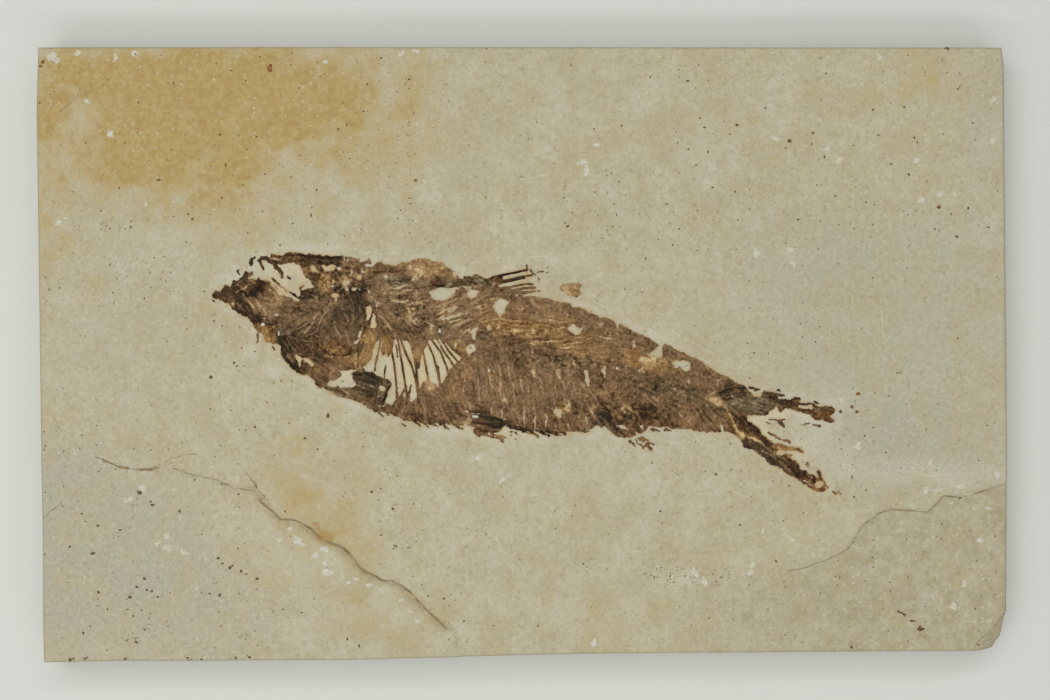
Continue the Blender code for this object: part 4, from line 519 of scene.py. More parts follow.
# Light marks: width and path
LIGHT_LINES = [
    (1.2, [(318, 312), (312, 325), (303, 335)]), (1.0, [(345, 312), (349, 320), (346, 325)]),
    (0.9, [(347, 330), (350, 345)]), (0.8, [(322, 355.6), (336, 357), (348, 356)]),
    (1.0, [(332, 300), (326, 312), (318, 326)]), (0.9, [(360, 300), (361, 312)]),
    (1.2, [(237, 292), (244, 288), (250, 284)]), (1.2, [(243, 294), (248, 300), (254, 308)]),
    (1.4, [(262, 279), (270, 283), (280, 292)]), (1.2, [(395, 281.6), (408, 284.6)]),
    (1.3, [(398, 288), (412, 286)]), (1.3, [(393, 300.4), (410, 301)]),
    (1.0, [(376, 301), (379, 307)]), (1.0, [(444, 300), (456, 294)]), (1.2, [(440, 313), (456, 306)]),
    (1.2, [(448, 318), (468, 313)]), (1.0, [(452, 327), (468, 320)]), (1.2, [(462, 334), (470, 329)]),
    (1.0, [(480, 322), (500, 319), (520, 321)]), (1.0, [(500, 330), (524, 331)]),
    (1.0, [(530, 341), (556, 342)]), (1.2, [(560, 348), (574, 346)]), (1.0, [(600, 336), (612, 340)]),
    (0.9, [(470, 404), (470.6, 410)]), (1.0, [(491, 408), (491.6, 414)]), (1.2, [(501, 410), (502.6, 417)]),
    (1.0, [(506, 400), (507, 405)]), (0.9, [(512.6, 410), (513, 419)]), (0.9, [(519, 417), (519, 424)]),
    (0.9, [(523.6, 408), (524.6, 427)]), (1.0, [(528.6, 408), (528.6, 416)]),
    (1.0, [(535.2, 414), (535.2, 430)]), (1.0, [(546, 414), (546, 430)]),
    (0.9, [(555.6, 424), (555.6, 430)]),
    (1.0, [(568, 423), (568, 430)]), (1.0, [(579, 415), (579, 419)]), (1.0, [(586, 416), (587, 424)]),
    (0.8, [(498, 362), (501, 380), (500, 400)]), (0.8, [(478, 380), (480, 400)]),
    (0.8, [(556, 372), (566, 388)]), (0.8, [(584, 384), (596, 398)]), (0.8, [(648, 392), (660, 404)]),
    (0.8, [(668, 404), (682, 416)]), (0.9, [(716, 404), (728, 409)]),
    (1.6, [(727, 410), (737, 430), (746, 436), (760, 441)]),
    (0.8, [(382, 294), (400, 293), (414, 289)]), (0.8, [(404, 306), (422, 303), (442, 294)]),
    (0.7, [(378, 314), (392, 330)]), (0.7, [(392, 316), (404, 330)]), (0.8, [(472, 309), (488, 304)]),
    (0.8, [(424, 309), (434, 306)]), (0.8, [(432, 297), (446, 291)]), (0.8, [(458, 288), (470, 286)]),
    (0.7, [(486, 300), (498, 297)]), (0.8, [(504, 323), (520, 326)]), (0.8, [(545, 330), (566, 328)]),
    (0.8, [(575, 338), (592, 338)]), (0.8, [(520, 344), (536, 343)]), (0.7, [(560, 310), (572, 316)]),
    (0.7, [(532, 304), (540, 307)]), (0.7, [(596, 322), (604, 327)]), (0.7, [(618, 346), (626, 350)]),
    (1.0, [(770, 446), (784, 449)]), (0.9, [(750, 442), (764, 451), (776, 459)]),
    (0.9, [(757, 441), (770, 450), (784, 461)]), (0.8, [(780, 465), (790, 471)]),
    (0.9, [(752, 448), (764, 456), (772, 463)]), (1.0, [(806, 474), (812, 478)]),
    (0.9, [(222, 296), (232, 300), (240, 306)]), (0.8, [(230, 288), (238, 284), (246, 277)]),
    (0.9, [(248, 308), (252, 315)]), (0.9, [(284, 340), (290, 350), (296, 358)]),
    (0.9, [(288, 336), (300, 340), (312, 341)]), (0.8, [(298, 329), (310, 322), (320, 312)]),
    (0.9, [(306, 336), (316, 332), (322, 320), (326, 306)]), (0.8, [(336, 296), (338, 306)]),
    (0.8, [(352, 298), (354, 312), (353, 326)]), (0.9, [(334, 318), (336, 330), (342, 338)]),
    (0.9, [(270, 290), (276, 296), (282, 304)]), (0.8, [(256, 300), (262, 308), (266, 316)]),
    (0.8, [(318, 386), (336, 394), (352, 402)]), (0.8, [(342, 388), (352, 396)]),
    (0.8, [(360, 382), (374, 386)]), (1.0, [(380, 388), (377, 398)]), (1.0, [(384, 390), (381, 400)]),
    (0.7, [(490, 374), (491, 384)]), (0.7, [(499, 382), (500, 398)]), (0.7, [(508, 365), (510, 378)]),
    (0.7, [(513, 382), (515, 402)]), (0.7, [(520, 375), (522, 388)]), (0.7, [(526.6, 378), (528.6, 392)]),
    (0.7, [(534, 368), (538, 382)]), (0.7, [(540, 378), (543, 392)]), (0.7, [(555, 382), (557, 402)]),
    (0.7, [(563, 385), (567, 398)]), (0.7, [(573, 382), (577, 395)]), (0.7, [(581.6, 382), (586, 392)]),
    (0.7, [(602, 384), (610, 396)]), (0.7, [(622, 390), (630, 402)]), (0.7, [(466, 372), (463, 392)]),
    (0.9, [(730, 396), (744, 401)]), (0.9, [(750, 402), (762, 406)]),
]
# Left, right, top, bottom of pale, rusty and white patches
PALE_SPOTS = [
    (277, 284, 289, 297), (300, 303, 295, 297), (312, 320, 297, 301), (310, 318, 266, 272),
    (321, 336, 264, 271), (335, 341, 267, 270), (350, 353, 269, 277), (358, 363, 273, 283),
    (331, 336, 280, 284), (341, 350, 280, 288), (332, 339, 291, 301), (314, 318, 283, 288),
    (338, 345, 398, 404), (384, 388, 274, 279), (411, 416, 277, 281), (445, 452, 282, 288),
    (409, 413, 266, 270), (415, 421, 268, 272), (420, 424, 265, 268), (452, 458, 270, 279),
    (430, 433, 323, 328), (412, 417, 317, 323),
    (455, 457, 340, 347), (531, 535, 327, 334), (513, 518, 328, 334), (487, 492, 325, 330),
    (497, 500, 326, 330), (529, 535, 337, 340), (548, 552, 341, 343), (555, 558, 331, 334),
    (565, 571, 345, 350), (530, 535, 348, 353), (531, 535, 369, 376), (557, 562, 370, 377),
    (572, 576, 360, 365), (577, 580, 370, 373), (592, 597, 364, 366), (602, 606, 367, 376),
    (612, 616, 359, 361.5), (606, 610, 336, 340), (594, 597, 330, 333), (616, 619, 333, 336),
    (631, 636, 342, 351), (502, 506, 393, 402), (640, 650, 357, 364), (641, 645, 366, 370),
    (638, 646, 370, 373.6), (684, 692, 379, 383.6), (709, 715, 376, 378),
    (721, 723, 382, 384), (557, 563, 408, 418), (565, 569, 401, 412), (650, 656, 356, 362),
    (764, 768, 425, 428), (807, 809.6, 463.6, 466.6), (730, 736, 402, 405), (464, 472, 284, 290),
    (346, 352, 398, 402), (300, 310, 358, 363), (328, 350, 380, 386),
]
RUSTY_SPOTS = [
    (296, 305, 284, 292), (262, 283, 276, 282), (262, 278, 326, 343), (300, 303, 264, 275),
    (320, 330, 273, 295),
    (320, 352, 345, 352), (360, 374, 330, 342), (360, 372, 350, 368), (381, 392, 335, 356),
    (524, 532, 359, 365), (628, 636, 349, 356), (630, 655, 357, 367), (675, 680, 365, 371),
    (480, 540, 322, 328), (553, 570, 402, 414), (810, 836, 411, 421),
    (770, 786, 444, 452), (784, 800, 446, 452), (816, 828, 470, 486), (474, 482, 428, 434),
    (618, 628, 424, 430), (640, 652, 436, 450), (776, 788, 390, 394), (270, 284, 254, 257),
    (458, 470, 345, 352), (440, 452, 364, 372), (384, 394, 398, 404), (760, 774, 430, 438),
]
WHITE_SPOTS = [
    (245, 247, 285, 288), (273, 280, 313, 316), (263, 267, 317, 319), (261, 265, 322, 326),
    (278, 280.6, 331, 337), (378, 380, 300, 307), (388, 391, 309, 311), (394, 396, 310, 313),
    (438, 442, 328, 334), (487.6, 491, 368, 373), (615.6, 618.6, 366, 372), (470, 478, 414, 418),
    (741, 742.6, 401, 404), (336, 341, 267, 270), (330, 334, 285, 287), (396, 398, 343, 346),
]
# Small openings through to the stone: ellipses, then slits
HOLES = [
    (366.4, 371.6, 306, 316), (366, 369, 313, 320), (602.6, 605.6, 367, 376), (558, 562, 409, 415),
    (568, 570.6, 401, 409), (776, 785, 449.6, 456),
    (814.5, 823, 480.6, 487), (639, 648, 358, 362), (486.6, 491, 326, 330), (376, 379, 304, 308),
    (799, 812, 405.4, 409.4), (464, 468, 410, 413),
]
HOLE_LINES = [
    (1.7, [(390.6, 288.6), (400, 287.6), (406, 286)]), (1.6, [(395, 301.6), (402, 302.4), (408, 300.6)]),
    (1.2, [(402.6, 291.4), (412, 290.6)]), (1.8, [(449, 311), (458, 307)]),
    (1.8, [(442, 319.4), (451, 316.6), (460, 313.6)]),
    (1.6, [(449, 321.8), (461, 319.4)]), (1.2, [(446, 303.6), (456, 298)]),
    (1.2, [(455, 326), (464, 322)]), (1.4, [(524.2, 410), (524.6, 424)]),
    (1.3, [(535.2, 417), (535.2, 428)]),
    (1.3, [(546, 416), (546, 428)]), (1.3, [(502, 411), (502.6, 416)]), (1.3, [(568, 424), (568, 430)]),
    (1.4, [(804, 481), (812, 485)]), (1.4, [(586.4, 417), (587, 424)]),
    (1.1, [(799, 406), (806, 405), (812, 406.4)]), (1.1, [(806, 409.4), (813, 407.6), (820, 408.8)]),
    (1.0, [(818, 405.6), (828, 407.2)]), (1.3, [(436, 340), (440, 346)]),
    (1.6, [(360.6, 331.5), (360, 339.5)]),
]
# Loose bits of bone and scale outside the plates, by the plate that each belongs to
BITS = {
    "skull": [
        (2.8, [(250.6, 262), (252, 258.6), (255, 257.6)]), (3.0, [(251, 264), (251.6, 262)]),
        (3.6, [(258.6, 260), (263, 258.6), (269, 260.4), (274, 264), (277, 268)]),
        (2.4, [(260.6, 260), (261.6, 264), (262.4, 269)]), (4.4, [(275, 266), (279, 269)]),
        (3.0, [(279, 269), (281, 273), (281.6, 276)]), (2.4, [(275, 266), (275.6, 269)]),
        (0.9, [(235, 266), (239.6, 270.6)]), (1.8, [(237, 271), (239, 273.6)]),
        (2.0, [(287.6, 276.4), (290.6, 278.6)]), (1.4, [(212.6, 300), (214, 303)]),
        (2.0, [(257.6, 334), (257.6, 337)]), (1.8, [(257.6, 339), (257.6, 342)]),
        (1.4, [(271.5, 343), (273, 347), (274, 350)]), (2.4, [(365, 263.6), (367.6, 260.4)]),
        (3.0, [(346, 258), (358, 260)]), (1.3, [(299, 296.6), (308, 298.6)]),
        (4.5, [(362, 264), (364.6, 270)]), (3.0, [(366, 262), (370, 262.6)]),
        (4.0, [(366, 270.6), (371, 268.6)]),
        (4.2, [(321, 352), (327, 357), (338, 359.6), (348, 358.6), (354, 352), (356, 346)]),
        (6.5, [(331, 377.4), (337, 375)]), (3.0, [(303, 362), (309, 366)]),
        (2.2, [(224, 289), (225.6, 285.6)]), (2.6, [(233, 285), (235, 280.6)]),
        (2.4, [(238, 283), (240, 279.6)]),
        (2.6, [(243, 279), (245.6, 271.8)]), (2.2, [(247, 276), (251, 272)]),
        (2.0, [(214, 294), (215.6, 291)]),
    ],
    "trunk": [
        (1.4, [(385.6, 366), (385, 372), (384.4, 378)]), (1.5, [(396, 345), (397.5, 357)]),
        (3.6, [(420.6, 347), (419.6, 356), (418, 367)]), (6.0, [(426, 384), (434, 386.6)]),
        (2.4, [(404, 390), (401, 396), (398, 404)]), (2.0, [(423, 390), (420, 398), (417, 404)]),
        (2.6, [(437.6, 367), (439, 378), (441, 392)]), (1.6, [(411, 385), (409, 394), (408, 404)]),
        (2.0, [(434, 387), (430, 395)]),
        (1.5, [(404, 351), (409, 361), (414, 372)]), (1.6, [(401, 424.6), (405, 426)]),
        (1.6, [(476, 275), (478, 275.5)]), (1.6, [(656.5, 430.4), (659.5, 431)]),
        (1.6, [(651, 429.6), (655, 430.2)]), (2.4, [(665, 430), (671, 431.4)]),
        (1.6, [(640.6, 429), (646, 430.4)]),
        (2.6, [(617, 421), (621, 412.6), (628, 410.6), (634, 415), (641, 425)]),
        (4.0, [(713, 385), (709, 392), (708, 399), (709, 406), (712.6, 413), (716, 418), (719, 423)]),
        (3.4, [(634, 414), (641, 421), (646, 428)]),
    ],
    "dorsal_fin": [
        (1.6, [(526.4, 265.4), (527.6, 270)]), (2.2, [(530.4, 270), (532, 272)]),
        (1.3, [(533.5, 273.5), (535.6, 275)]), (1.2, [(537.4, 272.6), (539.4, 271.6)]),
        (1.4, [(541, 271.8), (543.6, 271.4)]),
        (1.1, [(545.8, 272.6), (547.6, 273)]),
        (1.2, [(546.8, 268), (548.4, 267)]), (1.1, [(538.2, 278), (539.6, 279.8)]),
        (1.1, [(473, 275), (478, 275.5), (485, 278.8)]),
        (7.0, [(563, 288), (572, 286.6)]), (6.0, [(572, 286), (577.6, 286), (577.6, 294)]),
        (5.0, [(566, 290.6), (577, 295)]), (5.0, [(568, 289), (574, 291)]),
    ],
    "pelvic_fin": [
        (1.4, [(474, 431), (480, 436)]), (1.4, [(478, 433), (496, 438.4)]),
        (1.3, [(496, 437), (504, 441.6)]), (1.3, [(509, 431.4), (517, 433.6)]),
        (1.2, [(509, 434.6), (516, 440)]),
    ],
    "anal_fin": [
        (2.0, [(629.4, 441.6), (635.6, 446.4)]), (1.5, [(636, 440), (637.6, 444), (642, 446)]),
        (1.6, [(639, 438.6), (645, 441.6)]), (1.8, [(641.8, 437), (654, 445)]),
        (3.4, [(643, 447), (648, 445), (650.4, 449)]),
    ],
    "tail_upper_lobe": [
        (2.0, [(749.6, 387.6), (759, 390)]), (2.0, [(777, 391), (780, 391.4)]),
        (2.6, [(732, 396), (739, 399), (744, 403), (745, 409)]),
        (2.0, [(814, 401), (819, 403)]), (2.6, [(779, 404), (783, 408)]),
        (1.2, [(800, 423.4), (804, 425), (812, 424.6), (819, 426)]), (1.6, [(839, 411), (841, 412)]),
        (1.8, [(851, 407), (853, 407.6)]), (1.6, [(856.6, 411), (858, 412.4)]),
    ],
    "tail_lower_lobe": [
        (4.0, [(735, 428.6), (742, 434.4), (751, 438), (760, 440)]),
        (1.6, [(770, 419.6), (777, 421), (786, 420)]), (3.0, [(779, 423), (783.6, 425.6)]),
        (1.3, [(766, 421.6), (771, 424.6)]), (2.0, [(768, 432.6), (777, 438), (791, 442)]),
        (2.4, [(833, 491), (835.4, 494)]), (1.2, [(838, 491.6), (841, 493.6)]),
        (2.4, [(807, 464), (809, 466)]),
    ],
}

# Raised lines of the skeleton: width and path
RIDGES = [
    (3.0, [(216, 295), (228, 299), (240, 308), (252, 321)]),
    (3.0, [(229, 290), (240, 289), (250, 296), (256, 308), (262, 320), (268, 330)]),
    (2.4, [(258, 284), (264, 293), (263, 300)]), (3.0, [(268, 312), (280, 308), (296, 309), (312, 305)]),
    (3.0, [(282, 345), (288, 356), (296, 367), (310, 371), (324, 379)]),
    (2.6, [(284, 336), (296, 341), (308, 350), (324, 361), (338, 365)]),
    (3.2, [(274, 256.4), (300, 256.6), (322, 258.8), (340, 260)]),
    (2.6, [(318, 276), (328, 284), (324, 294)]),
    (2.6, [(344, 309), (348.6, 318), (347.4, 326), (348, 334), (348.6, 343)]),
    (2.4, [(323, 339), (326, 333), (332, 331.6), (340, 334)]),
    (2.4, [(323, 350), (331, 353), (341, 355), (348, 352)]),
    (2.6, [(343, 294), (352, 295.6), (362, 294)]), (2.4, [(359, 302), (360, 314), (358, 326)]),
    (2.4, [(327, 327), (334, 320), (337, 310)]),
    (3.0, [(376, 266), (392, 273), (410, 275), (430, 270), (446, 275)]),
    (2.4, [(378, 288), (400, 286), (424, 290)]), (2.4, [(378, 296), (404, 298), (430, 305), (440, 303)]),
    (2.0, [(482, 354), (488, 378), (489, 404)]), (2.0, [(496, 358), (504, 380), (505, 408)]),
    (2.0, [(512, 362), (519, 386), (520, 418)]), (2.0, [(527, 364), (534, 388), (535, 420)]),
    (2.0, [(542, 368), (549, 390), (547, 420)]), (2.0, [(557, 372), (568, 394), (570, 420)]),
    (2.0, [(572, 375), (581, 396), (583, 420)]), (2.0, [(600, 382), (612, 398), (620, 403)]),
    (2.0, [(620, 388), (634, 402), (644, 416)]), (2.0, [(640, 394), (652, 408), (664, 420)]),
    (2.0, [(659, 400), (672, 412), (682, 423)]), (2.0, [(678, 406), (692, 416), (702, 425)]),
    (3.0, [(354, 375.6), (366, 374.4), (378, 378.4), (388, 383)]),
    (2.0, [(357, 380), (368, 379.6), (380, 382.4)]),
    (2.4, [(389, 386), (385, 397), (381.6, 403)]), (3.0, [(468, 419), (480, 418), (492, 419), (502, 422)]),
    (2.0, [(470, 422.6), (482, 423), (500, 428)]),
    (2.4, [(595, 411), (600, 418), (606, 425.6), (613, 431.6), (624, 435.6)]),
    (2.0, [(625, 412), (630, 421), (637, 428)]),
    (2.4, [(714, 396), (726, 391.6), (740, 391), (754, 398), (772, 398), (790, 403), (812, 413)]),
    (2.4, [(714, 409.6), (728, 413), (742, 421), (756, 431), (766, 440)]),
    (2.6, [(746, 444), (762, 450), (780, 463), (796, 473), (810, 484)]),
]
# The vertebral column's path
VERTEBRAL_COLUMN = [
    (375, 305), (400, 315), (440, 330), (480, 342), (520, 352), (560, 362), (600, 370),
    (640, 381), (680, 396), (700, 402),
]
# The CAD nodes of the fish and the slot of each
FISH_NODES = {
    "skull": "fossil_bone", "gill_cover": "fossil_dark_bone", "trunk": "fossil_scale",
    "dorsal_fin": "fossil_bone", "pectoral_fin": "fossil_dark_bone",
    "pelvic_fin": "fossil_dark_bone", "anal_fin": "fossil_bone",
    "tail_upper_lobe": "fossil_bone", "tail_lower_lobe": "fossil_bone",
}

# The fossil's finishes: roughness and gloss
FOSSIL_FINISHES = {
    "fossil_bone": (0.68, 0.12),
    "fossil_dark_bone": (0.66, 0.14),
    "fossil_scale": (0.72, 0.10),
}

# The fossil's brown, olive and rusty shades, from its darkest tone to its lightest
TONE_STOPS = (0.0, 0.25, 0.5, 0.75, 1.0)
FOSSIL_SHADES = [
    [(38, 26, 14), (73, 53, 31), (120, 93, 63), (152, 122, 88), (192, 168, 124)],
    [(37, 30, 16), (71, 58, 35), (107, 91, 64), (143, 129, 101), (188, 178, 144)],
    [(54, 33, 16), (93, 63, 33), (136, 102, 59), (170, 138, 89), (201, 178, 126)],
]

# Tints laid over the stone and the bone, as display values
WARM = (184, 172, 137)
SANDY = (175, 163, 127)
CREAM = (195, 191, 168)
GREY = (173, 169, 148)
FELT_DARK = (164, 152, 118)
FELT_LIGHT = (201, 196, 172)
GRAIN_LIGHT = (204, 200, 179)
GRAIN_DARK = (148, 133, 96)
MATRIX = (203, 187, 148)
PALE = (198, 194, 174)
# Warm fringe round the fish: partly stain, partly painted shade where the film meets the stone
STAIN_AND_SHADE_FRINGE = (186, 156, 106)
# Painted shade on the higher side of each ledge, as on a bevel
LEDGE_SHADE = (150, 136, 101)
RUST = (158, 112, 58)
# Dark lines: mostly painted shadow at the foot of the ledges, the rest cracks and creases
DARK_LINE = (128, 109, 73)
PALE_LINE = (205, 201, 181)
RIM = (146, 134, 100)
OCHRE_WASH = (184, 165, 119)
SIDE_DARK = (130, 118, 86)
CHALK_EDGE = (189, 183, 157)
BONE_WHITE = (208, 202, 182)

# The stone's pores and pale grains: cell size in metres, share of cells without one, radius in
# cells, colour and strength
PORES = [
    (0.0037, 0.80, 0.046, (88, 74, 48), 0.9), (0.0023, 0.84, 0.058, (98, 84, 56), 0.75),
    (0.0013, 0.80, 0.095, (128, 112, 78), 0.5), (0.0017, 0.78, 0.12, (214, 210, 193), 0.45),
]

# The room in metres: the floor, each light's name, place, size and power, and what is round it
FLOOR_HALF = 1.2
FLOOR_COLOUR = (213, 215, 208)
LIGHTS = [
    ("upper_strip", (-0.1, 0.42, 0.70), (1.4, 0.09), 1.8),
    ("lower_strip", (-0.1, -0.46, 0.60), (1.4, 0.09), 1.9),
    ("overhead", (-0.16, 0.0, 1.05), (0.9, 0.9), 4.25),
]
ROOM_COLOUR = (0.97, 0.98, 1.0, 1.0)
ROOM_STRENGTH = 0.345


def metres(x, y):
    """Metres on the slab for traced points."""
    return (x - TRACED_MIDDLE[0]) * POINT, (TRACED_MIDDLE[1] - y) * POINT


def traced(x, y):
    """Traced points for metres on the slab."""
    return x / POINT + TRACED_MIDDLE[0], TRACED_MIDDLE[1] - y / POINT


def smooth(value, low, high):
    """0 at low, 1 at high, with a soft start and end."""
    t = np.clip((value - low) / (high - low), 0.0, 1.0)
    return t * t * (3.0 - 2.0 * t)


def between(grid, columns, rows, across, down):
    """The grid's value at the given shares of the way between two columns and two rows."""
    (left, right), (upper, lower) = columns, rows
    top = grid[upper, left] * (1 - across) + grid[upper, right] * across
    bottom = grid[lower, left] * (1 - across) + grid[lower, right] * across
    return top * (1 - down) + bottom * down


def noise(x, y, size, seed):
    """Smooth noise from -1 to 1 whose features have the given size, in traced points."""
    lattice = np.random.default_rng(seed).uniform(-1.0, 1.0, (LATTICE, LATTICE))
    u, v = x / size, y / size
    column, row = np.floor(u).astype(int), np.floor(v).astype(int)
    columns = (column % LATTICE, (column + 1) % LATTICE)
    rows = (row % LATTICE, (row + 1) % LATTICE)
    return between(lattice, columns, rows, smooth(u - column, 0, 1), smooth(v - row, 0, 1))


def shifts(x, y, layers, seed):
    """Noise that moves places about: layers are an amount and a size, in traced points."""
    seeds = iter(range(seed, seed + 2 * len(layers)))
    return [
        sum(amount * noise(x, y, size, next(seeds)) for amount, size in layers)
        for _ in range(2)
    ]


def cells(x, y, wide, high, seed):
    """Irregular cells: 0 on a border to 1 well inside, and a random shade from -1 to 1."""
    spots = np.random.default_rng(seed).uniform(0.0, 1.0, (LATTICE, LATTICE, 3))
    u, v = x / wide, y / high
    column, row = np.floor(u).astype(int), np.floor(v).astype(int)
    first, second, shade = np.full(x.shape, 9.0), np.full(x.shape, 9.0), np.zeros(x.shape)
    for down in (-1, 0, 1):
        for across in (-1, 0, 1):
            spot = spots[(row + down) % LATTICE, (column + across) % LATTICE]
            distance = np.hypot(column + across + spot[..., 0] - u, row + down + spot[..., 1] - v)
            nearest = distance < first
            second = np.where(nearest, first, np.minimum(second, distance))
            shade = np.where(nearest, spot[..., 2], shade)
            first = np.minimum(first, distance)
    return smooth(second - first, 0.0, 0.35), 2 * shade - 1


def areas(x, y, ellipses):
    """Sum of soft ellipses: middle, half width, half height and, if given, strength."""
    total = np.zeros(x.shape)
    for middle_x, middle_y, wide, high, *strength in ellipses:
        run = ((x - middle_x) / wide) ** 2 + ((y - middle_y) / high) ** 2
        total += (strength[0] if strength else 1.0) * np.exp(-run * run)
    return total


def in_ellipse(x, y, box):
    """How far inside an ellipse a place lies, negative outside. The box bounds it."""
    left, right, top, bottom = box
    wide, high = (right - left) / 2, (bottom - top) / 2
    run = np.hypot((x - (left + right) / 2) / wide, (y - (top + bottom) / 2) / high)
    return (1.0 - run) * min(wide, high)


def segments_of(path, closed=False):
    """The path's segments as an array of start and end points."""
    points = np.array(path, float)
    ends = np.roll(points, -1, axis=0) if closed else points[1:]
    starts = points if closed else points[:-1]
    return np.stack([starts, ends], axis=1)


def to_segment(x, y, start, end):
    """Distance to one segment, and the share of it run at the nearest place."""
    run = end - start
    share = ((x - start[0]) * run[0] + (y - start[1]) * run[1]) / max(run @ run, 1e-9)
    share = np.clip(share, 0.0, 1.0)
    return np.hypot(x - start[0] - share * run[0], y - start[1] - share * run[1]), share


def polygon_side(x, y, segments, reach):
    """Signed distance to closed segments, positive inside and never more than reach."""
    run = np.full(x.shape, float(reach))
    within = np.zeros(x.shape, bool)
    for start, end in segments:
        run = np.minimum(run, to_segment(x, y, start, end)[0])
        crosses = (start[1] > y) != (end[1] > y)
        rise = end[1] - start[1] if end[1] != start[1] else 1.0
        within ^= crosses & (x < start[0] + (y - start[1]) / rise * (end[0] - start[0]))
    return np.where(within, run, -run)


def line_fields(x, y, strokes):
    """Distance to the nearest stroke in stroke widths: with a sign for its side, and without."""
    signed = np.full(x.shape, FAR)
    near = np.full(x.shape, FAR)
    for width, path in strokes:
        for start, end in segments_of(path):
            distance = to_segment(x, y, start, end)[0] / width
            run = end - start
            side = np.sign((x - start[0]) * run[1] - (y - start[1]) * run[0])
            nearer = distance < near
            signed = np.where(nearer, distance * side, signed)
            near = np.where(nearer, distance, near)
    return signed, near


class Sheet:
    """A regular grid of sample places over part of the slab, in traced points."""

    def __init__(self, left, top, right, bottom, pitch):
        self.left, self.top, self.pitch = left, top, pitch
        self.x, self.y = np.meshgrid(np.arange(left, right, pitch), np.arange(top, bottom, pitch))
        self.shape = self.x.shape

    def noise(self, size, seed):
        """Smooth noise at the sample places."""
        return noise(self.x, self.y, size, seed)

    def window(self, points, margin):
        """The rows and columns that hold the points, with a margin round them."""
        low, high = points.min(axis=0) - margin, points.max(axis=0) + margin
        first = np.maximum(np.floor((low - (self.left, self.top)) / self.pitch), 0).astype(int)
        last = np.ceil((high - (self.left, self.top)) / self.pitch).astype(int) + 1
        last = np.maximum(last, 0)
        return slice(first[1], last[1]), slice(first[0], last[0])

    def near(self, segments, reach):
        """Distance to the nearest segment, no more than reach, and the length run by then."""
        run = np.full(self.shape, float(reach))
        travelled = np.zeros(self.shape)
        before = 0.0
        for segment in segments:
            part = self.window(segment, reach)
            distance, share = to_segment(self.x[part], self.y[part], *segment)
            length = np.linalg.norm(segment[1] - segment[0])
            nearer = distance < run[part]
            run[part] = np.where(nearer, distance, run[part])
            travelled[part] = np.where(nearer, before + share * length, travelled[part])
            before += length
        return run, travelled

    def inside(self, segments):
        """True where the closed segments go round a place."""
        found = np.zeros(self.shape, bool)
        for start, end in segments:
            low, high = min(start[1], end[1]), max(start[1], end[1])
            rows = np.flatnonzero((self.y[:, 0] > low) & (self.y[:, 0] <= high))
            if len(rows):
                y = self.y[rows, 0]
                x = start[0] + (y - start[1]) / (end[1] - start[1]) * (end[0] - start[0])
                found[rows] ^= self.x[rows] < x[:, None]
        return found

    def signed(self, segments, reach=FAR):
        """Distance to closed segments: positive inside and negative outside."""
        run = self.near(segments, reach)[0]
        return np.where(self.inside(segments), run, -run)

    def depth(self, strokes):
        """How far inside the nearest stroke a place lies, negative outside."""
        field = np.full(self.shape, -FAR)
        for width, path in strokes:
            part = self.window(np.array(path, float), width / 2 + FAR / 2)
            for start, end in segments_of(path):
                distance = to_segment(self.x[part], self.y[part], start, end)[0]
                field[part] = np.maximum(field[part], width / 2 - distance)
        return field

    def spots(self, boxes):
        """How far inside the nearest ellipse a place lies, negative outside. Boxes bound them."""
        field = np.full(self.shape, -FAR)
        for box in boxes:
            part = self.window(np.reshape(box, (2, 2)).T, FAR / 2)
            field[part] = np.maximum(field[part], in_ellipse(self.x[part], self.y[part], box))
        return field

    def sample(self, field, x, y):
        """The field's value at any places, between the grid's own."""
        u = np.clip((x - self.left) / self.pitch, 0, self.shape[1] - 1.001)
        v = np.clip((y - self.top) / self.pitch, 0, self.shape[0] - 1.001)
        column, row = u.astype(int), v.astype(int)
        return between(field, (column, column + 1), (row, row + 1), u - column, v - row)

    def streaks(self, angle, size, seed, steps, step):
        """Noise drawn out along the local direction, about -1 to 1."""
        total = self.noise(size, seed)
        for way in (-1.0, 1.0):
            x, y = self.x.copy(), self.y.copy()
            ahead_x, ahead_y = np.cos(angle) * way, np.sin(angle) * way
            for _ in range(steps):
                x += ahead_x * step
                y += ahead_y * step
                column = np.clip((x - self.left) / self.pitch, 0, self.shape[1] - 1).astype(int)
                row = np.clip((y - self.top) / self.pitch, 0, self.shape[0] - 1).astype(int)
                turned = angle[row, column]
                new_x, new_y = np.cos(turned), np.sin(turned)
                same = np.where(new_x * ahead_x + new_y * ahead_y < 0, -1.0, 1.0)
                ahead_x, ahead_y = new_x * same, new_y * same
                total += noise(x, y, size, seed)
        return np.clip(total / total.std() / 2.0, -1.5, 1.5)


# Meshes

def clipped(triangles, presence):
    """The part of the triangles where presence is positive.

    Gives the triangles, and for each new corner the two old corners that it lies between.
    """
    total = len(presence)
    positive = presence[triangles] > 0
    count = positive.sum(axis=1)
    cut_pairs = []
    turned = []
    for kept in (1, 2):
        mixed = triangles[count == kept]
        signs = positive[count == kept]
        odd = np.argmax(signs if kept == 1 else ~signs, axis=1)
        turn = (odd[:, None] + np.arange(3)) % 3
        a, b, c = np.take_along_axis(mixed, turn, axis=1).T
        ab = np.minimum(a, b) * total + np.maximum(a, b)
        ac = np.minimum(a, c) * total + np.maximum(a, c)
        cut_pairs.append((ab, ac))
        turned.append((a, b, c))
    names = np.unique(np.concatenate([cut for pair in cut_pairs for cut in pair]))

    def corner(cut):
        return total + np.searchsorted(names, cut)

    (tip_ab, tip_ac), (ab, ac) = cut_pairs
    tip = np.stack([turned[0][0], corner(tip_ab), corner(tip_ac)], axis=1)
    _, b, c = turned[1]
    first = np.stack([b, c, corner(ac)], axis=1)
    second = np.stack([b, corner(ac), corner(ab)], axis=1)
    whole = triangles[count == 3]
    return np.concatenate([whole, tip, first, second]), names // total, names % total


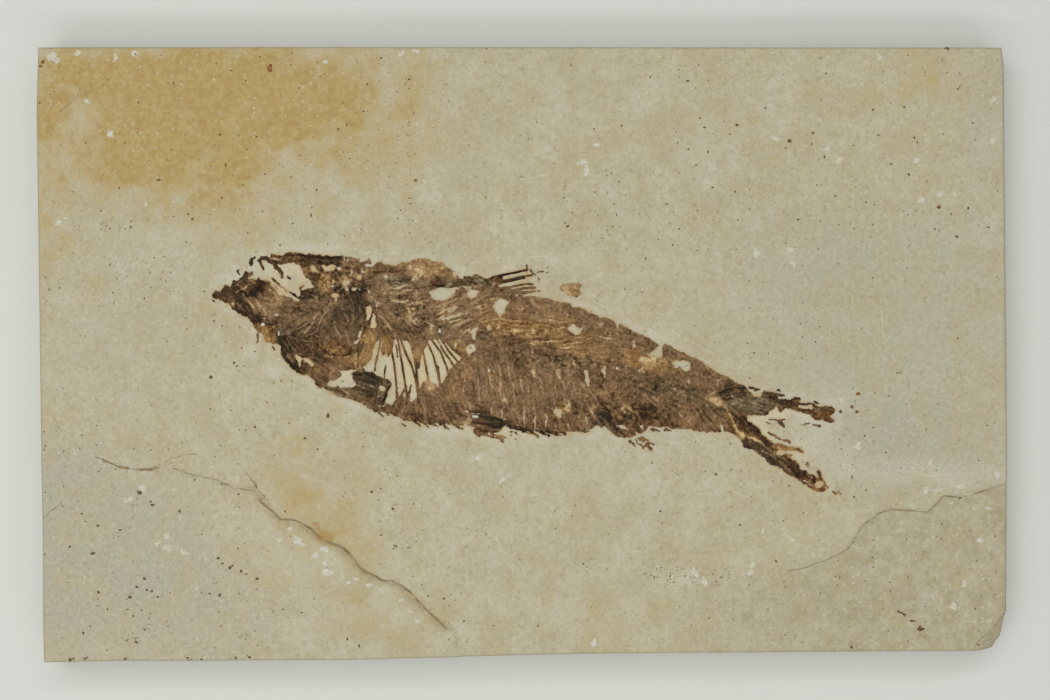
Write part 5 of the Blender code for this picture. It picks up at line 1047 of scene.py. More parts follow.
def without_crumbs(triangles, corner_count, fewest):
    """Leaves out the islands that have fewer triangles than this."""
    island = np.arange(corner_count)
    while True:
        lowest = island[triangles].min(axis=1)
        new = island.copy()
        for side in range(3):
            np.minimum.at(new, triangles[:, side], lowest)
        new = new[new]
        if (new == island).all():
            break
        island = new
    number = island[triangles[:, 0]]
    sizes = np.bincount(number, minlength=corner_count)
    return triangles[sizes[number] >= fewest]


def cut_out(sheet_x, sheet_y, inside, values, fewest=FEWEST_TRIANGLES):
    """Triangles over the places where inside is positive, with the values of each corner."""
    inside = np.where(np.abs(inside) < EDGE_SNAP, np.where(inside > 0, EDGE_SNAP, -EDGE_SNAP), inside)
    x, y = metres(sheet_x, sheet_y)
    data = np.stack([value.ravel() for value in (x, y, *values)], axis=1)
    number = np.arange(inside.size).reshape(inside.shape)
    a, b, c, d = number[:-1, :-1], number[:-1, 1:], number[1:, 1:], number[1:, :-1]
    flip = (np.add.outer(np.arange(a.shape[0]), np.arange(a.shape[1])) % 2).astype(bool)
    first = np.where(flip[..., None], np.stack([a, d, b], -1), np.stack([a, d, c], -1))
    second = np.where(flip[..., None], np.stack([b, d, c], -1), np.stack([a, c, b], -1))
    triangles = np.concatenate([first.reshape(-1, 3), second.reshape(-1, 3)])
    level = inside.ravel()
    triangles = triangles[(level[triangles] > 0).any(axis=1)]
    triangles, low, high = clipped(triangles, level)
    share = (level[low] / (level[low] - level[high]))[:, None]
    data = np.concatenate([data, data[low] + (data[high] - data[low]) * share])
    triangles = without_crumbs(triangles, len(data), fewest)
    used, triangles = np.unique(triangles, return_inverse=True)
    return data[used], triangles.reshape(-1, 3)


def border_of(triangles):
    """The edges that only one triangle has, in its direction."""
    edges = np.concatenate([triangles[:, [0, 1]], triangles[:, [1, 2]], triangles[:, [2, 0]]])
    total = edges.max() + 1
    forward = edges[:, 0] * total + edges[:, 1]
    back = edges[:, 1] * total + edges[:, 0]
    return edges[~np.isin(forward, back)]


def filled(points, loops):
    """Triangles that fill the loops, seen from above and facing down."""
    used = np.unique(loops)
    place = {corner: number for number, corner in enumerate(used)}
    flat = [Vector(points[corner, :2] / MILLIMETRE) for corner in used]
    edges = [(place[a], place[b]) for a, b in loops]
    found = delaunay_2d_cdt(flat, edges, [], INSIDE_LESS_HOLES, TOUCHING)
    names = [used[origin[0]] for origin in found[3]]
    triangles = np.array([[names[i] for i in triangle] for triangle in found[2]])
    a, b, c = (points[triangles[:, i], :2] for i in range(3))
    turn = (b - a)[:, 0] * (c - a)[:, 1] - (b - a)[:, 1] * (c - a)[:, 0]
    return np.where((turn > 0)[:, None], triangles[:, ::-1], triangles)


def with_root(data, triangles, root):
    """Closes a cut-out sheet with a thin edge and an underside at the given depth below it."""
    border = border_of(triangles)
    rim = np.unique(border)
    below = np.full(len(data), -1)
    below[rim] = len(data) + np.arange(len(rim))
    lower = data[rim].copy()
    lower[:, 2] -= root
    data = np.concatenate([data, lower])
    loops = below[border]
    walls = np.concatenate([
        np.column_stack([border[:, 1], border[:, 0], loops[:, 0]]),
        np.column_stack([border[:, 1], loops[:, 0], loops[:, 1]]),
    ])
    return data, np.concatenate([triangles, walls, filled(data, loops)])


def joined(parts):
    """One set of corners and faces from many."""
    before = np.cumsum([0] + [len(data) for data, _ in parts[:-1]])
    faces = np.concatenate([faces + start for (_, faces), start in zip(parts, before)])
    return np.concatenate([data for data, _ in parts]), faces


def mesh_from(name, corners, faces, attributes):
    """A smooth mesh whose attributes are arrays with one value for each corner."""
    mesh = bpy.data.meshes.new(name)
    mesh.from_pydata(corners.tolist(), [], [list(face) for face in faces])
    mesh.update()
    mesh.shade_smooth()
    for key, values in attributes.items():
        layer = mesh.attributes.new(key, "FLOAT", "POINT")
        layer.data.foreach_set("value", np.asarray(values, np.float32))
    planar = mesh.uv_layers.new(name="OFBake")
    index = np.empty(len(mesh.loops), int)
    mesh.loops.foreach_get("vertex_index", index)
    span = corners[:, :2].max(axis=0) - corners[:, :2].min(axis=0)
    uv = (corners[index, :2] - corners[:, :2].min(axis=0)) / span.max()
    planar.data.foreach_set("uv", uv.astype(np.float32).ravel())
    return mesh


def add_piece(name, mesh, finish, node=None):
    """Puts a mesh in the scene, in place of a CAD node if one is named."""
    mesh.materials.append(finish)
    piece = bpy.data.objects.new(name, mesh)
    bpy.context.scene.collection.objects.link(piece)
    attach(piece, "root")
    if node:
        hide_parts(node)


# Node materials

def paint(red, green, blue):
    """A linear colour from display values of 0 to 255."""
    value = np.array([red, green, blue]) / 255.0
    linear = np.where(value <= 0.04045, value / 12.92, ((value + 0.055) / 1.055) ** 2.4)
    return (*linear, 1.0)


class Finish:
    """A node material in the making."""

    def __init__(self, name, roughness, specular):
        self.material = bpy.data.materials.new(name)
        self.material.use_nodes = True
        self.nodes = self.material.node_tree.nodes
        self.links = self.material.node_tree.links
        self.shader = self.nodes["Principled BSDF"]
        self.shader.inputs["Roughness"].default_value = roughness
        self.shader.inputs["Specular IOR Level"].default_value = specular
        self.place = self.nodes.new("ShaderNodeTexCoord").outputs["Object"]

    def put(self, socket, value):
        """Links a socket's output to this one, or sets a plain value."""
        if isinstance(value, bpy.types.NodeSocket):
            self.links.new(value, socket)
        else:
            socket.default_value = value

    def attribute(self, name):
        """The mesh's value of this name."""
        node = self.nodes.new("ShaderNodeAttribute")
        node.attribute_name = name
        return node.outputs["Fac"]

    def math(self, operation, first, second=0.0):
        """The operation's result for two sockets or values."""
        node = self.nodes.new("ShaderNodeMath")
        node.operation = operation
        self.put(node.inputs[0], first)
        self.put(node.inputs[1], second)
        return node.outputs[0]

    def times(self, first, second):
        """The two multiplied."""
        return self.math("MULTIPLY", first, second)

    def plus(self, first, second):
        """The two added."""
        return self.math("ADD", first, second)

    def stretched(self, x, y, z):
        """The object's own coordinates, scaled along each axis."""
        node = self.nodes.new("ShaderNodeMapping")
        node.inputs["Scale"].default_value = (x, y, z)
        self.put(node.inputs["Vector"], self.place)
        return node.outputs["Vector"]

    def noise(self, size, detail=3.0, seed=0.0, vector=None):
        """Noise from about 0.3 to 0.7 with features of the given size in metres."""
        node = self.nodes.new("ShaderNodeTexNoise")
        node.noise_dimensions = "4D"
        node.inputs["W"].default_value = seed
        node.inputs["Scale"].default_value = 1.0 / size
        node.inputs["Detail"].default_value = detail
        self.put(node.inputs["Vector"], vector or self.place)
        return node.outputs["Fac"]

    def ramp(self, value, low, high, start=0.0, end=1.0):
        """From start to end as the value goes from low to high, softly."""
        node = self.nodes.new("ShaderNodeMapRange")
        node.interpolation_type = "SMOOTHSTEP"
        self.put(node.inputs["Value"], value)
        for key, number in (("From Min", low), ("From Max", high), ("To Min", start), ("To Max", end)):
            node.inputs[key].default_value = number
        return node.outputs["Result"]

    def mix(self, share, first, second):
        """The first colour where share is 0 and the second where it is 1."""
        node = self.nodes.new("ShaderNodeMix")
        node.data_type = "RGBA"
        share_socket, first_socket, second_socket = (node.inputs[i] for i in (0, 6, 7))
        self.put(share_socket, share)
        self.put(first_socket, first)
        self.put(second_socket, second)
        return node.outputs[2]

    def tinted(self, colour, share, tint):
        """The colour with this share of a tint laid over it."""
        return self.mix(share, colour, paint(*tint))

    def stippled(self, colour, value, low, high, most, tint):
        """The colour tinted as the value goes from low to high, up to the share most."""
        return self.tinted(colour, self.ramp(value, low, high, 0.0, most), tint)

    def colours(self, value, stops):
        """A colour ramp: stops are a place and display values of 0 to 255."""
        node = self.nodes.new("ShaderNodeValToRGB")
        elements = node.color_ramp.elements
        while len(elements) < len(stops):
            elements.new(0.5)
        for element, (place, colour) in zip(elements, stops):
            element.position = place
            element.color = paint(*colour)
        self.put(node.inputs["Fac"], value)
        return node.outputs["Color"]

    def grains(self, size):
        """Flat cells of the given size: distance to each cell's point, and a random value."""
        node = self.nodes.new("ShaderNodeTexVoronoi")
        node.voronoi_dimensions = "2D"
        node.inputs["Scale"].default_value = 1.0 / size
        self.put(node.inputs["Vector"], self.place)
        split = self.nodes.new("ShaderNodeSeparateColor")
        self.put(split.inputs["Color"], node.outputs["Color"])
        return node.outputs["Distance"], split.outputs["Red"]

    def done(self, colour, relief, strength, depth):
        """Sets the colour and the bump, and gives the material."""
        self.put(self.shader.inputs["Base Color"], colour)
        bump = self.nodes.new("ShaderNodeBump")
        bump.inputs["Strength"].default_value = strength
        bump.inputs["Distance"].default_value = depth
        self.put(bump.inputs["Height"], relief)
        self.put(self.shader.inputs["Normal"], bump.outputs["Normal"])
        return self.material


def limestone():
    """Pale laminated limestone with iron stains, pores, fine lines and layered sides."""
    f = Finish("limestone", 0.9, 0.15)
    broad = f.noise(0.020, 3, 1)
    blotch = f.noise(0.0060, 4, 2)
    mottle = f.noise(0.0019, 4, 3)
    felt = f.noise(0.0010, 2, 13)
    grain = f.noise(0.0006, 4, 4)
    colour = bare_ground(f, broad, blotch, mottle)
    colour = f.mix(f.times(f.attribute("flake"), 0.85), colour, flaked_ground(f))
    colour = f.stippled(colour, felt, 0.48, 0.36, 0.18, FELT_DARK)
    colour = f.stippled(colour, felt, 0.52, 0.64, 0.22, FELT_LIGHT)
    colour = f.stippled(colour, grain, 0.55, 0.68, 0.30, GRAIN_LIGHT)
    colour = iron_stained(f, colour, blotch, mottle, felt)
    matrix = f.times(f.attribute("matrix"), f.ramp(mottle, 0.36, 0.6, 1.0, 0.7))
    colour = f.tinted(colour, matrix, MATRIX)
    colour = f.tinted(colour, f.times(f.attribute("pale"), 0.75), PALE)
    colour = f.stippled(colour, grain, 0.45, 0.33, 0.28, GRAIN_DARK)
    colour = pores(f, colour, broad)
    colour = marked(f, colour, mottle, felt)
    colour = f.mix(f.attribute("side"), colour, sawn_side(f, grain))
    return f.done(colour, f.plus(mottle, f.times(grain, 0.8)), 0.6, 0.00012)


def bare_ground(f, broad, blotch, mottle):
    """The unstained stone: cream, with browner, paler and greyer places."""
    colour = f.colours(blotch, [
        (0.32, (176, 169, 139)), (0.45, (181, 174, 146)), (0.55, (184, 178, 151)),
        (0.68, (188, 183, 158)),
    ])
    colour = f.stippled(colour, broad, 0.42, 0.62, 0.45, WARM)
    colour = f.stippled(colour, mottle, 0.50, 0.66, 0.40, SANDY)
    colour = f.stippled(colour, mottle, 0.47, 0.35, 0.42, CREAM)
    grey = f.times(f.attribute("grey"), f.ramp(blotch, 0.34, 0.62, 0.55, 1.0))
    return f.tinted(colour, grey, GREY)


def flaked_ground(f):
    """The browner stone of the flaked patch."""
    return f.colours(f.noise(0.0028, 3, 12), [
        (0.36, (179, 173, 147)), (0.47, (173, 165, 137)), (0.56, (169, 160, 131)),
        (0.66, (165, 154, 122)),
    ])


def marked(f, colour, mottle, felt):
    """Marks that follow the mesh: the fish's fringe of stain and painted shade, painted shade beside the
    ledges, rust, thin lines with painted shadow at the ledges' feet, and the rim.
    """
    # Warm fringe just outside the fish: partly stain, partly painted shade where the film meets the stone
    stained_shaded_fringe = f.times(
        f.ramp(f.attribute("beside"), -2.8, -0.5, 0.0, 0.6), f.ramp(mottle, 0.42, 0.6, 0.3, 1.0),
    )
    colour = f.tinted(colour, stained_shaded_fringe, STAIN_AND_SHADE_FRINGE)
    # Painted shade on the higher side of each ledge
    slope = f.times(f.attribute("slope"), f.ramp(mottle, 0.38, 0.62, 0.2, 0.75))
    colour = f.tinted(colour, slope, LEDGE_SHADE)
    rust = f.times(
        f.ramp(f.attribute("rust_spot"), -1.5, 2.5, 0.0, 0.7), f.ramp(felt, 0.4, 0.6, 0.3, 1.0),
    )
    colour = f.tinted(colour, rust, RUST)
    dark, light = f.ramp(mottle, 0.38, 0.62, 0.95, 0.5), f.ramp(mottle, 0.40, 0.58, 0.1, 0.62)
    # Dark lines: painted shadow at the ledges' feet, and dark cracks and creases
    colour = drawn_line(f, colour, "ledge", dark, DARK_LINE)
    colour = drawn_line(f, colour, "scratch", light, PALE_LINE)
    return f.tinted(colour, f.times(f.attribute("rim"), 0.5), RIM)


def iron_stained(f, colour, blotch, mottle, felt):
    """Ochre stains with ragged, patchy edges."""
    patchy = f.plus(f.attribute("iron"), f.ramp(blotch, 0.35, 0.65, 0.16, -0.16))
    patchy = f.plus(patchy, f.ramp(mottle, 0.35, 0.65, 0.12, -0.12))
    colour = f.stippled(colour, patchy, -0.05, 0.65, 0.72, OCHRE_WASH)
    ochre = f.colours(f.times(f.plus(mottle, felt), 0.5), [
        (0.36, (166, 138, 81)), (0.47, (173, 147, 90)), (0.54, (178, 154, 98)), (0.64, (184, 165, 115)),
    ])
    return f.mix(f.ramp(patchy, 0.30, 1.05, 0.0, 0.85), colour, ochre)


def drawn_line(f, colour, name, strength, tint):
    """A thin line where the named signed distance is near 0."""
    uneven = f.ramp(f.noise(0.0024, 3, 14), 0.35, 0.65, -0.35, 0.35)
    away = f.plus(f.math("ABSOLUTE", f.attribute(name)), uneven)
    across = f.ramp(away, 0.30, 0.75, 1.0, 0.0)
    near = f.ramp(f.attribute(name + "_near"), 1.6, 2.6, 1.0, 0.0)
    return f.tinted(colour, f.times(f.times(across, near), strength), tint)


def pores(f, colour, broad):
    """Fine dark pores and pale grains, a tenth to half a millimetre wide, thicker in some areas."""
    crowded = f.ramp(broad, 0.42, 0.60, 0.45, 1.0)
    for size, rarity, radius, tint, strength in PORES:
        distance, chance = f.grains(size)
        near = f.times(crowded, f.ramp(distance, radius * 0.6, radius * 1.4, 1.0, 0.0))
        chosen = f.ramp(chance, rarity, rarity + 0.01, 0.0, strength)
        colour = f.tinted(colour, f.times(near, chosen), tint)
    return colour


def sawn_side(f, grain):
    """The slab's sawn sides: thin beds of grey, cream and brown."""
    beds = f.noise(0.0011, 3, 9, f.stretched(0.02, 0.02, 1.0))
    colour = f.colours(beds, [
        (0.30, (150, 138, 108)), (0.44, (178, 168, 138)), (0.55, (186, 178, 150)),
        (0.66, (160, 146, 112)), (0.74, (190, 184, 160)),
    ])
    return f.stippled(colour, grain, 0.45, 0.33, 0.4, SIDE_DARK)


def chalk():
    """White, powdery bruises of the limestone."""
    f = Finish("chalk", 0.95, 0.1)
    grain = f.noise(0.0005, 4, 7)
    colour = f.colours(grain, [
        (0.36, (188, 183, 160)), (0.5, (203, 200, 183)), (0.66, (214, 213, 201)),
    ])
    colour = f.mix(f.attribute("inner"), paint(*CHALK_EDGE), colour)
    return f.done(colour, grain, 0.5, 0.0001)


def mineral():
    """Dark specks, some of them rusty."""
    f = Finish("mineral", 0.7, 0.3)
    grain = f.noise(0.0003, 3, 8)
    colour = f.colours(grain, [(0.36, (70, 61, 44)), (0.5, (96, 84, 60)), (0.66, (124, 110, 80))])
    rusty = f.colours(grain, [(0.36, (92, 54, 22)), (0.5, (138, 92, 42)), (0.66, (164, 124, 66))])
    return f.done(f.mix(f.attribute("rust"), colour, rusty), grain, 0.5, 0.0001)


def fossil(name, roughness, specular):
    """Brown bone or scale film whose tone, rust and white come from the mesh."""
    f = Finish(name, roughness, specular)
    fine = f.noise(0.00050, 4, 5)
    speck = f.noise(0.00026, 2, 6)
    tone = f.plus(f.attribute("tone"), f.ramp(fine, 0.3, 0.7, -0.09, 0.09))
    tone = f.plus(tone, f.ramp(speck, 0.3, 0.7, -0.07, 0.07))
    brown, olive, rusty = (f.colours(tone, [*zip(TONE_STOPS, shades)]) for shades in FOSSIL_SHADES)
    colour = f.mix(f.ramp(f.attribute("rust"), 0.0, -0.8), brown, olive)
    colour = f.mix(f.ramp(f.attribute("rust"), 0.0, 0.9), colour, rusty)
    white = f.plus(f.attribute("white"), f.ramp(speck, 0.3, 0.7, -0.4, 0.4))
    colour = f.stippled(colour, white, -0.3, 0.6, 1.0, BONE_WHITE)
    relief = f.plus(fine, f.times(speck, 0.6))
    return f.done(colour, relief, 0.45, 0.00008)


# The stone

def rim_outline():
    """The slab's outline from the CAD node, in order, as traced points."""
    points = np.array([v.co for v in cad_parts["limestone_slab"].data.vertices])
    ring = points[np.abs(points[:, 2] - RIM_WEAR) < SAME_HEIGHT]
    ring = np.unique(np.round(ring[:, :2], 7), axis=0)
    ring = ring[np.argsort(np.arctan2(ring[:, 1], ring[:, 0]))]
    return np.stack(traced(ring[:, 0], ring[:, 1]), axis=1)


def resampled(path, shares):
    """Points at the given shares of a path's length."""
    steps = np.linalg.norm(np.diff(path, axis=0), axis=1)
    reached = np.concatenate([[0.0], np.cumsum(steps)]) / steps.sum()
    return np.stack([np.interp(shares, reached, path[:, i]) for i in (0, 1)], axis=1)


def graded(length):
    """Shares of a side's length: close together at both ends, then one grid pitch apart."""
    count = int((length - 2 * EVEN_ROWS_FROM) / STONE_PITCH) + 1
    inner = np.linspace(EVEN_ROWS_FROM, length - EVEN_ROWS_FROM, count)
    ends = np.array(RIM_ROWS)
    return np.concatenate([ends, inner, length - ends[::-1]]) / length


def stone_grid():
    """Places of the face's grid points, row by row from the top edge, in traced points."""
    ring = rim_outline()
    low, high = ring.min(axis=0), ring.max(axis=0)
    box = [(low[0], low[1]), (high[0], low[1]), (high[0], high[1]), (low[0], high[1])]
    corners = [int(np.argmin(np.hypot(*(ring - corner).T))) for corner in box]
    upper_left, upper_right, lower_right, lower_left = corners
    way = -1 if ((upper_right - upper_left) % len(ring)) > len(ring) / 2 else 1

    def side(first, last, direction):
        count = ((last - first) * direction) % len(ring)
        return ring[(first + direction * np.arange(count + 1)) % len(ring)]

    columns = graded(high[0] - low[0])
    rows = graded(high[1] - low[1])
    top = resampled(side(upper_left, upper_right, way), columns)
    bottom = resampled(side(lower_left, lower_right, -way), columns)
    left = resampled(side(upper_left, lower_left, -way), rows)
    right = resampled(side(upper_right, lower_right, way), rows)
    u, v = columns[None, :, None], rows[:, None, None]
    grid = (1 - v) * top[None] + v * bottom[None] + (1 - u) * left[:, None] + u * right[:, None]
    grid -= (1 - u) * (1 - v) * top[0] + u * (1 - v) * top[-1]
    grid -= (1 - u) * v * bottom[0] + u * v * bottom[-1]
    return grid


def drawn_to_ledge(grid, segments):
    """Moves the grid points beside a ledge to both its sides, so that its step is sharp."""
    x, y = grid[..., 0], grid[..., 1]
    side = polygon_side(x, y, segments, FAR)
    slope_x = (polygon_side(x + SLOPE_STEP, y, segments, FAR) - side) / SLOPE_STEP
    slope_y = (polygon_side(x, y + SLOPE_STEP, segments, FAR) - side) / SLOPE_STEP
    close = (np.abs(side) < DRAWN_REACH) & (x > DRAWN_LEFT) & (x < DRAWN_RIGHT) & (y < DRAWN_BOTTOM)
    wanted = np.where(side > 0, LEDGE_HALF_WIDTH, -LEDGE_HALF_WIDTH)
    shift = np.where(close, wanted - side, 0.0)
    return np.stack([x + slope_x * shift, y + slope_y * shift], axis=-1)


class Stone:
    """The slab's relief and stains at any place on its face."""

    def __init__(self, fish_outlines):
        self.lamina = segments_of(LAMINA_LEDGE + LAMINA_FAR_SIDE, True)
        self.flake = segments_of(FLAKE_LEDGE + FLAKE_FAR_SIDE, True)
        self.rim = segments_of(rim_outline(), True)
        self.sheet = Sheet(*STONE_SPAN, STONE_SHEET_PITCH)
        self.fish = self.sheet.signed(fish_outlines, FISH_REACH)

    def on_lamina(self, x, y):
        """1 on the raised lamina at the lower left, 0 off it."""
        return smooth(polygon_side(x, y, self.lamina, FAR), -0.5, 0.5) * smooth(x, *LAMINA_FADE)

    def on_flake(self, x, y):
        """1 on the flaked patch at the lower right, 0 off it."""
        return smooth(polygon_side(x, y, self.flake, FAR), -0.5, 0.5) * smooth(x, *FLAKE_FADE)

    def to_fish(self, x, y):
        """How far inside the fish's outlines a place lies, negative outside."""
        return self.sheet.sample(self.fish, x, y)

    def scraped(self, x, y):
        """1 in the band round the fish that the preparation tools scraped, 0 off it."""
        to_fish = self.to_fish(x, y)
        return smooth(to_fish, -13, -6) * (1 - smooth(to_fish, -2.5, 0))

    def chipped(self, x, y):
        """What the chipped corner takes off the height, in metres."""
        (start_x, start_y), (end_x, end_y) = CHIP_LINE
        run_x, run_y = end_x - start_x, end_y - start_y
        beyond = ((x - start_x) * run_y - (y - start_y) * run_x) / np.hypot(run_x, run_y)
        return CHIP_SLOPE * np.maximum(0.0, beyond) * POINT * (1 + 0.25 * noise(x, y, 7, 24))

    def height(self, x, y):
        """Height of the face over the slab's back, in metres."""
        on_flake = self.on_flake(x, y)
        height = FACE + LAMINA_RISE * self.on_lamina(x, y) - FLAKE_DROP * on_flake
        height += (0.06 * noise(x, y, 70, 21) + 0.03 * noise(x, y, 16, 22)) * MILLIMETRE
        height += (0.010 + 0.02 * on_flake) * noise(x, y, 8, 23) * MILLIMETRE
        height -= SCRAPED_DEPTH * self.scraped(x, y) + self.chipped(x, y)
        to_rim = np.abs(polygon_side(x, y, self.rim, FAR))
        return height - RIM_WEAR * smooth(to_rim, 1.7 + 0.8 * noise(x, y, 9, 25), 0.0)

    def slope(self, x, y):
        """Painted shade on the higher side of each ledge, as on a bevel."""
        def shade_band(above, reach):
            return smooth(above, -0.3, 0.3) * smooth(above, reach, 0.5)

        lamina = shade_band(polygon_side(x, y, self.lamina, FAR), 8) * smooth(x, *LAMINA_SHADE_FADE)
        flake = shade_band(-polygon_side(x, y, self.flake, FAR), 5) * smooth(x, *FLAKE_FADE)
        return lamina * (y < LAMINA_SHADE_BOTTOM) + 0.35 * flake

    def halo(self, x, y):
        """Paler stone in a broken band just outside the fish."""
        shift_x, shift_y = shifts(x, y, [(1.5, 9)], 15)
        to_fish = self.to_fish(x + shift_x, y + shift_y)
        band = smooth(to_fish, -9, -5) * (1 - smooth(to_fish, -2, 0))
        return band * smooth(noise(x, y, 22, 32), -0.4, 0.5)

    def marks(self, x, y):
        """The stains and lines that the material draws."""
        shift_x, shift_y = shifts(x, y, [(9, 34), (4, 11)], 11)

        def wavy(share=1.0):
            return x + share * shift_x, y + share * shift_y

        iron = areas(*wavy(), IRON_STAINS)
        gaps = smooth(noise(*wavy(), 26, 31), 0.1, 0.8) * smooth(iron, 0.2, 0.6)
        on_flake = self.on_flake(x, y)
        rusty = [in_ellipse(*wavy(0.3), box) for box in RUST_SPOTS]
        window = np.clip(areas(x, y, WINDOW_MATRIX), 0, 1)
        ledge, ledge_near = line_fields(x, y, LEDGE_LINES)
        scratch, scratch_near = line_fields(x, y, SCRATCHES)
        return {
            "iron": np.clip(iron, 0, 1.2) - 0.25 * gaps,
            "grey": np.clip(areas(*wavy(), GREY_AREAS), 0, 1),
            "flake": on_flake + (1 - on_flake) * np.clip(areas(*wavy(), BROWNER), 0, 1),
            "pale": np.clip(areas(*wavy(0.4), PALE_AREAS) + 0.55 * self.halo(x, y), 0, 1),
            "beside": self.to_fish(x, y),
            "slope": self.slope(x, y),
            "matrix": window * smooth(self.to_fish(x, y), -12, -3),
            "rust_spot": np.max(rusty, axis=0),
            "ledge": ledge,
            "ledge_near": ledge_near,
            "scratch": scratch,
            "scratch_near": scratch_near,
            "rim": smooth(np.abs(polygon_side(x, y, self.rim, FAR)), 1.8, 0.2),
        }


def build_stone(stone):
    """The sawn plate: its face as a fine height field, layered sides and a flat back."""
    grid = drawn_to_ledge(drawn_to_ledge(stone_grid(), stone.lamina), stone.flake)
    x, y = grid[..., 0], grid[..., 1]
    top = np.stack([*metres(x, y), stone.height(x, y)], axis=-1)
    mesh = stone_mesh(top, stone.marks(x, y))
    add_piece("stone", mesh, limestone(), "limestone_slab")


def side_row(edge, inwards, share):
    """One row of points round the sides, this share of the way down, with shallow beds cut in."""
    along = np.arange(len(edge)) * STONE_PITCH
    level = edge[:, 2] * (1 - share)
    depth = SIDE_ROUGHNESS * (1 + noise(along, level / POINT * 6, 9, 41))
    depth += FOOT_BEVEL * smooth(share, 0.94, 1.0)
    return np.column_stack([edge[:, :2] + inwards * depth[:, None], level])


def stone_mesh(top, marks):
    """Closes the face with layered sides and a flat back."""
    rows, columns = top.shape[:2]
    number = np.arange(rows * columns).reshape(rows, columns)
    face = [number[1:, :-1], number[1:, 1:], number[:-1, 1:], number[:-1, :-1]]
    faces = np.stack(face, axis=-1).reshape(-1, 4).tolist()
    ring = np.concatenate([
        number[0, :-1], number[:-1, -1], number[-1, :0:-1], number[:0:-1, 0],
    ])
    corners = top.reshape(-1, 3)
    edge = corners[ring]
    inwards = -edge[:, :2] / np.linalg.norm(edge[:, :2], axis=1, keepdims=True)
    side = [side_row(edge, inwards, row / SIDE_ROWS) for row in range(1, SIDE_ROWS + 1)]
    above = ring
    for row in range(SIDE_ROWS):
        below = len(corners) + row * len(ring) + np.arange(len(ring))
        walls = [above, np.roll(above, -1), np.roll(below, -1), below]
        faces += np.stack(walls, axis=-1).tolist()
        above = below
    every = np.concatenate([corners, *side])
    faces += filled(every, np.stack([above, np.roll(above, -1)], axis=-1)).tolist()
    values = {"side": np.repeat([0.0, 1.0], [len(corners), SIDE_ROWS * len(ring)])}
    for key, field in marks.items():
        flat = field.reshape(-1)
        values[key] = np.concatenate([flat] + [flat[ring]] * SIDE_ROWS)
    return mesh_from("stone", every, faces, values)


def build_bruises(stone):
    """Thin powdery flakes where the stone has been knocked."""
    parts = []
    for box in BRUISES:
        left, right, top, bottom = box
        low = (left - CHALK_MARGIN, top - CHALK_MARGIN)
        high = (right + CHALK_MARGIN, bottom + CHALK_MARGIN)
        sheet = Sheet(*low, *high, CHALK_PITCH)
        shift_x, shift_y = shifts(sheet.x, sheet.y, [(2.2, 4.5), (0.9, 1.8)], 71)
        inside = in_ellipse(sheet.x + shift_x, sheet.y + shift_y, box)
        inside -= 0.7 * np.abs(sheet.noise(2.6, 75))
        height = stone.height(sheet.x, sheet.y) + CHALK_HEIGHT * smooth(inside, -0.2, 1.0)
        inner = smooth(inside, -0.2, 1.1) * (0.8 + 0.2 * sheet.noise(40, 79))
        data, triangles = cut_out(sheet.x, sheet.y, inside, [height, inner], 8)
        parts.append(with_root(data, triangles, CHALK_ROOT))
    data, faces = joined(parts)
    mesh = mesh_from("chalk_bruises", data[:, :3], faces, {"inner": data[:, 3]})
    add_piece("chalk_bruises", mesh, chalk())


def speck_list(stone):
    """The traced specks, and finer ones scattered in the speckled patches."""
    chance = np.random.default_rng(81)
    found = list(SPECKS)
    for left, right, top, bottom, count in SPECKLED:
        x = chance.uniform(left, right, count)
        y = chance.uniform(top, bottom, count)
        radius = 0.35 + 0.6 * chance.uniform(0, 1, count) ** 3
        rust = chance.uniform(0, 0.5, count)
        clear = stone.to_fish(x, y) < -CLEAR_OF_FISH
        found += [tuple(speck) for speck in np.stack([x, y, radius, rust], axis=1)[clear]]
    return found


def speck_faces():
    """One speck's faces by corner number: the crown is 0, and its rim and foot follow."""
    ring = np.arange(SPECK_SIDES)
    ahead = np.roll(ring, -1)
    rim, foot = 1, 1 + SPECK_SIDES
    return np.concatenate([
        np.column_stack([np.zeros(SPECK_SIDES, int), rim + ring, rim + ahead]),
        np.column_stack([rim + ring, foot + ring, rim + ahead]),
        np.column_stack([rim + ahead, foot + ring, foot + ahead]),
        np.column_stack([np.full(SPECK_SIDES - 2, foot), foot + ring[2:], foot + ring[1:-1]]),
    ])


def build_specks(stone):
    """Small dark grains that sit in the stone's face."""
    chance = np.random.default_rng(82)
    specks = np.array(speck_list(stone))
    level = stone.height(specks[:, 0], specks[:, 1])
    turn = np.linspace(0, 2 * np.pi, SPECK_SIDES, endpoint=False)
    shape = speck_faces()
    parts = []
    for (x, y, radius, rust), ground in zip(specks, level):
        reach = radius * chance.uniform(0.7, 1.25, SPECK_SIDES)
        stretch = chance.uniform(0.75, 1.3)
        ring = metres(x + reach * np.cos(turn) * stretch, y - reach * np.sin(turn) / stretch)
        upper = np.column_stack([*ring, np.full(SPECK_SIDES, ground + SPECK_SHOULDER)])
        lower = np.column_stack([*ring, np.full(SPECK_SIDES, ground - SPECK_ROOT)])
        corners = np.concatenate([[[*metres(x, y), ground + SPECK_CROWN]], upper, lower])
        parts.append((np.column_stack([corners, np.full(len(corners), rust)]), shape))
    data, faces = joined(parts)
    mesh = mesh_from("mineral_specks", data[:, :3], faces, {"rust": data[:, 3]})
    add_piece("mineral_specks", mesh, mineral())


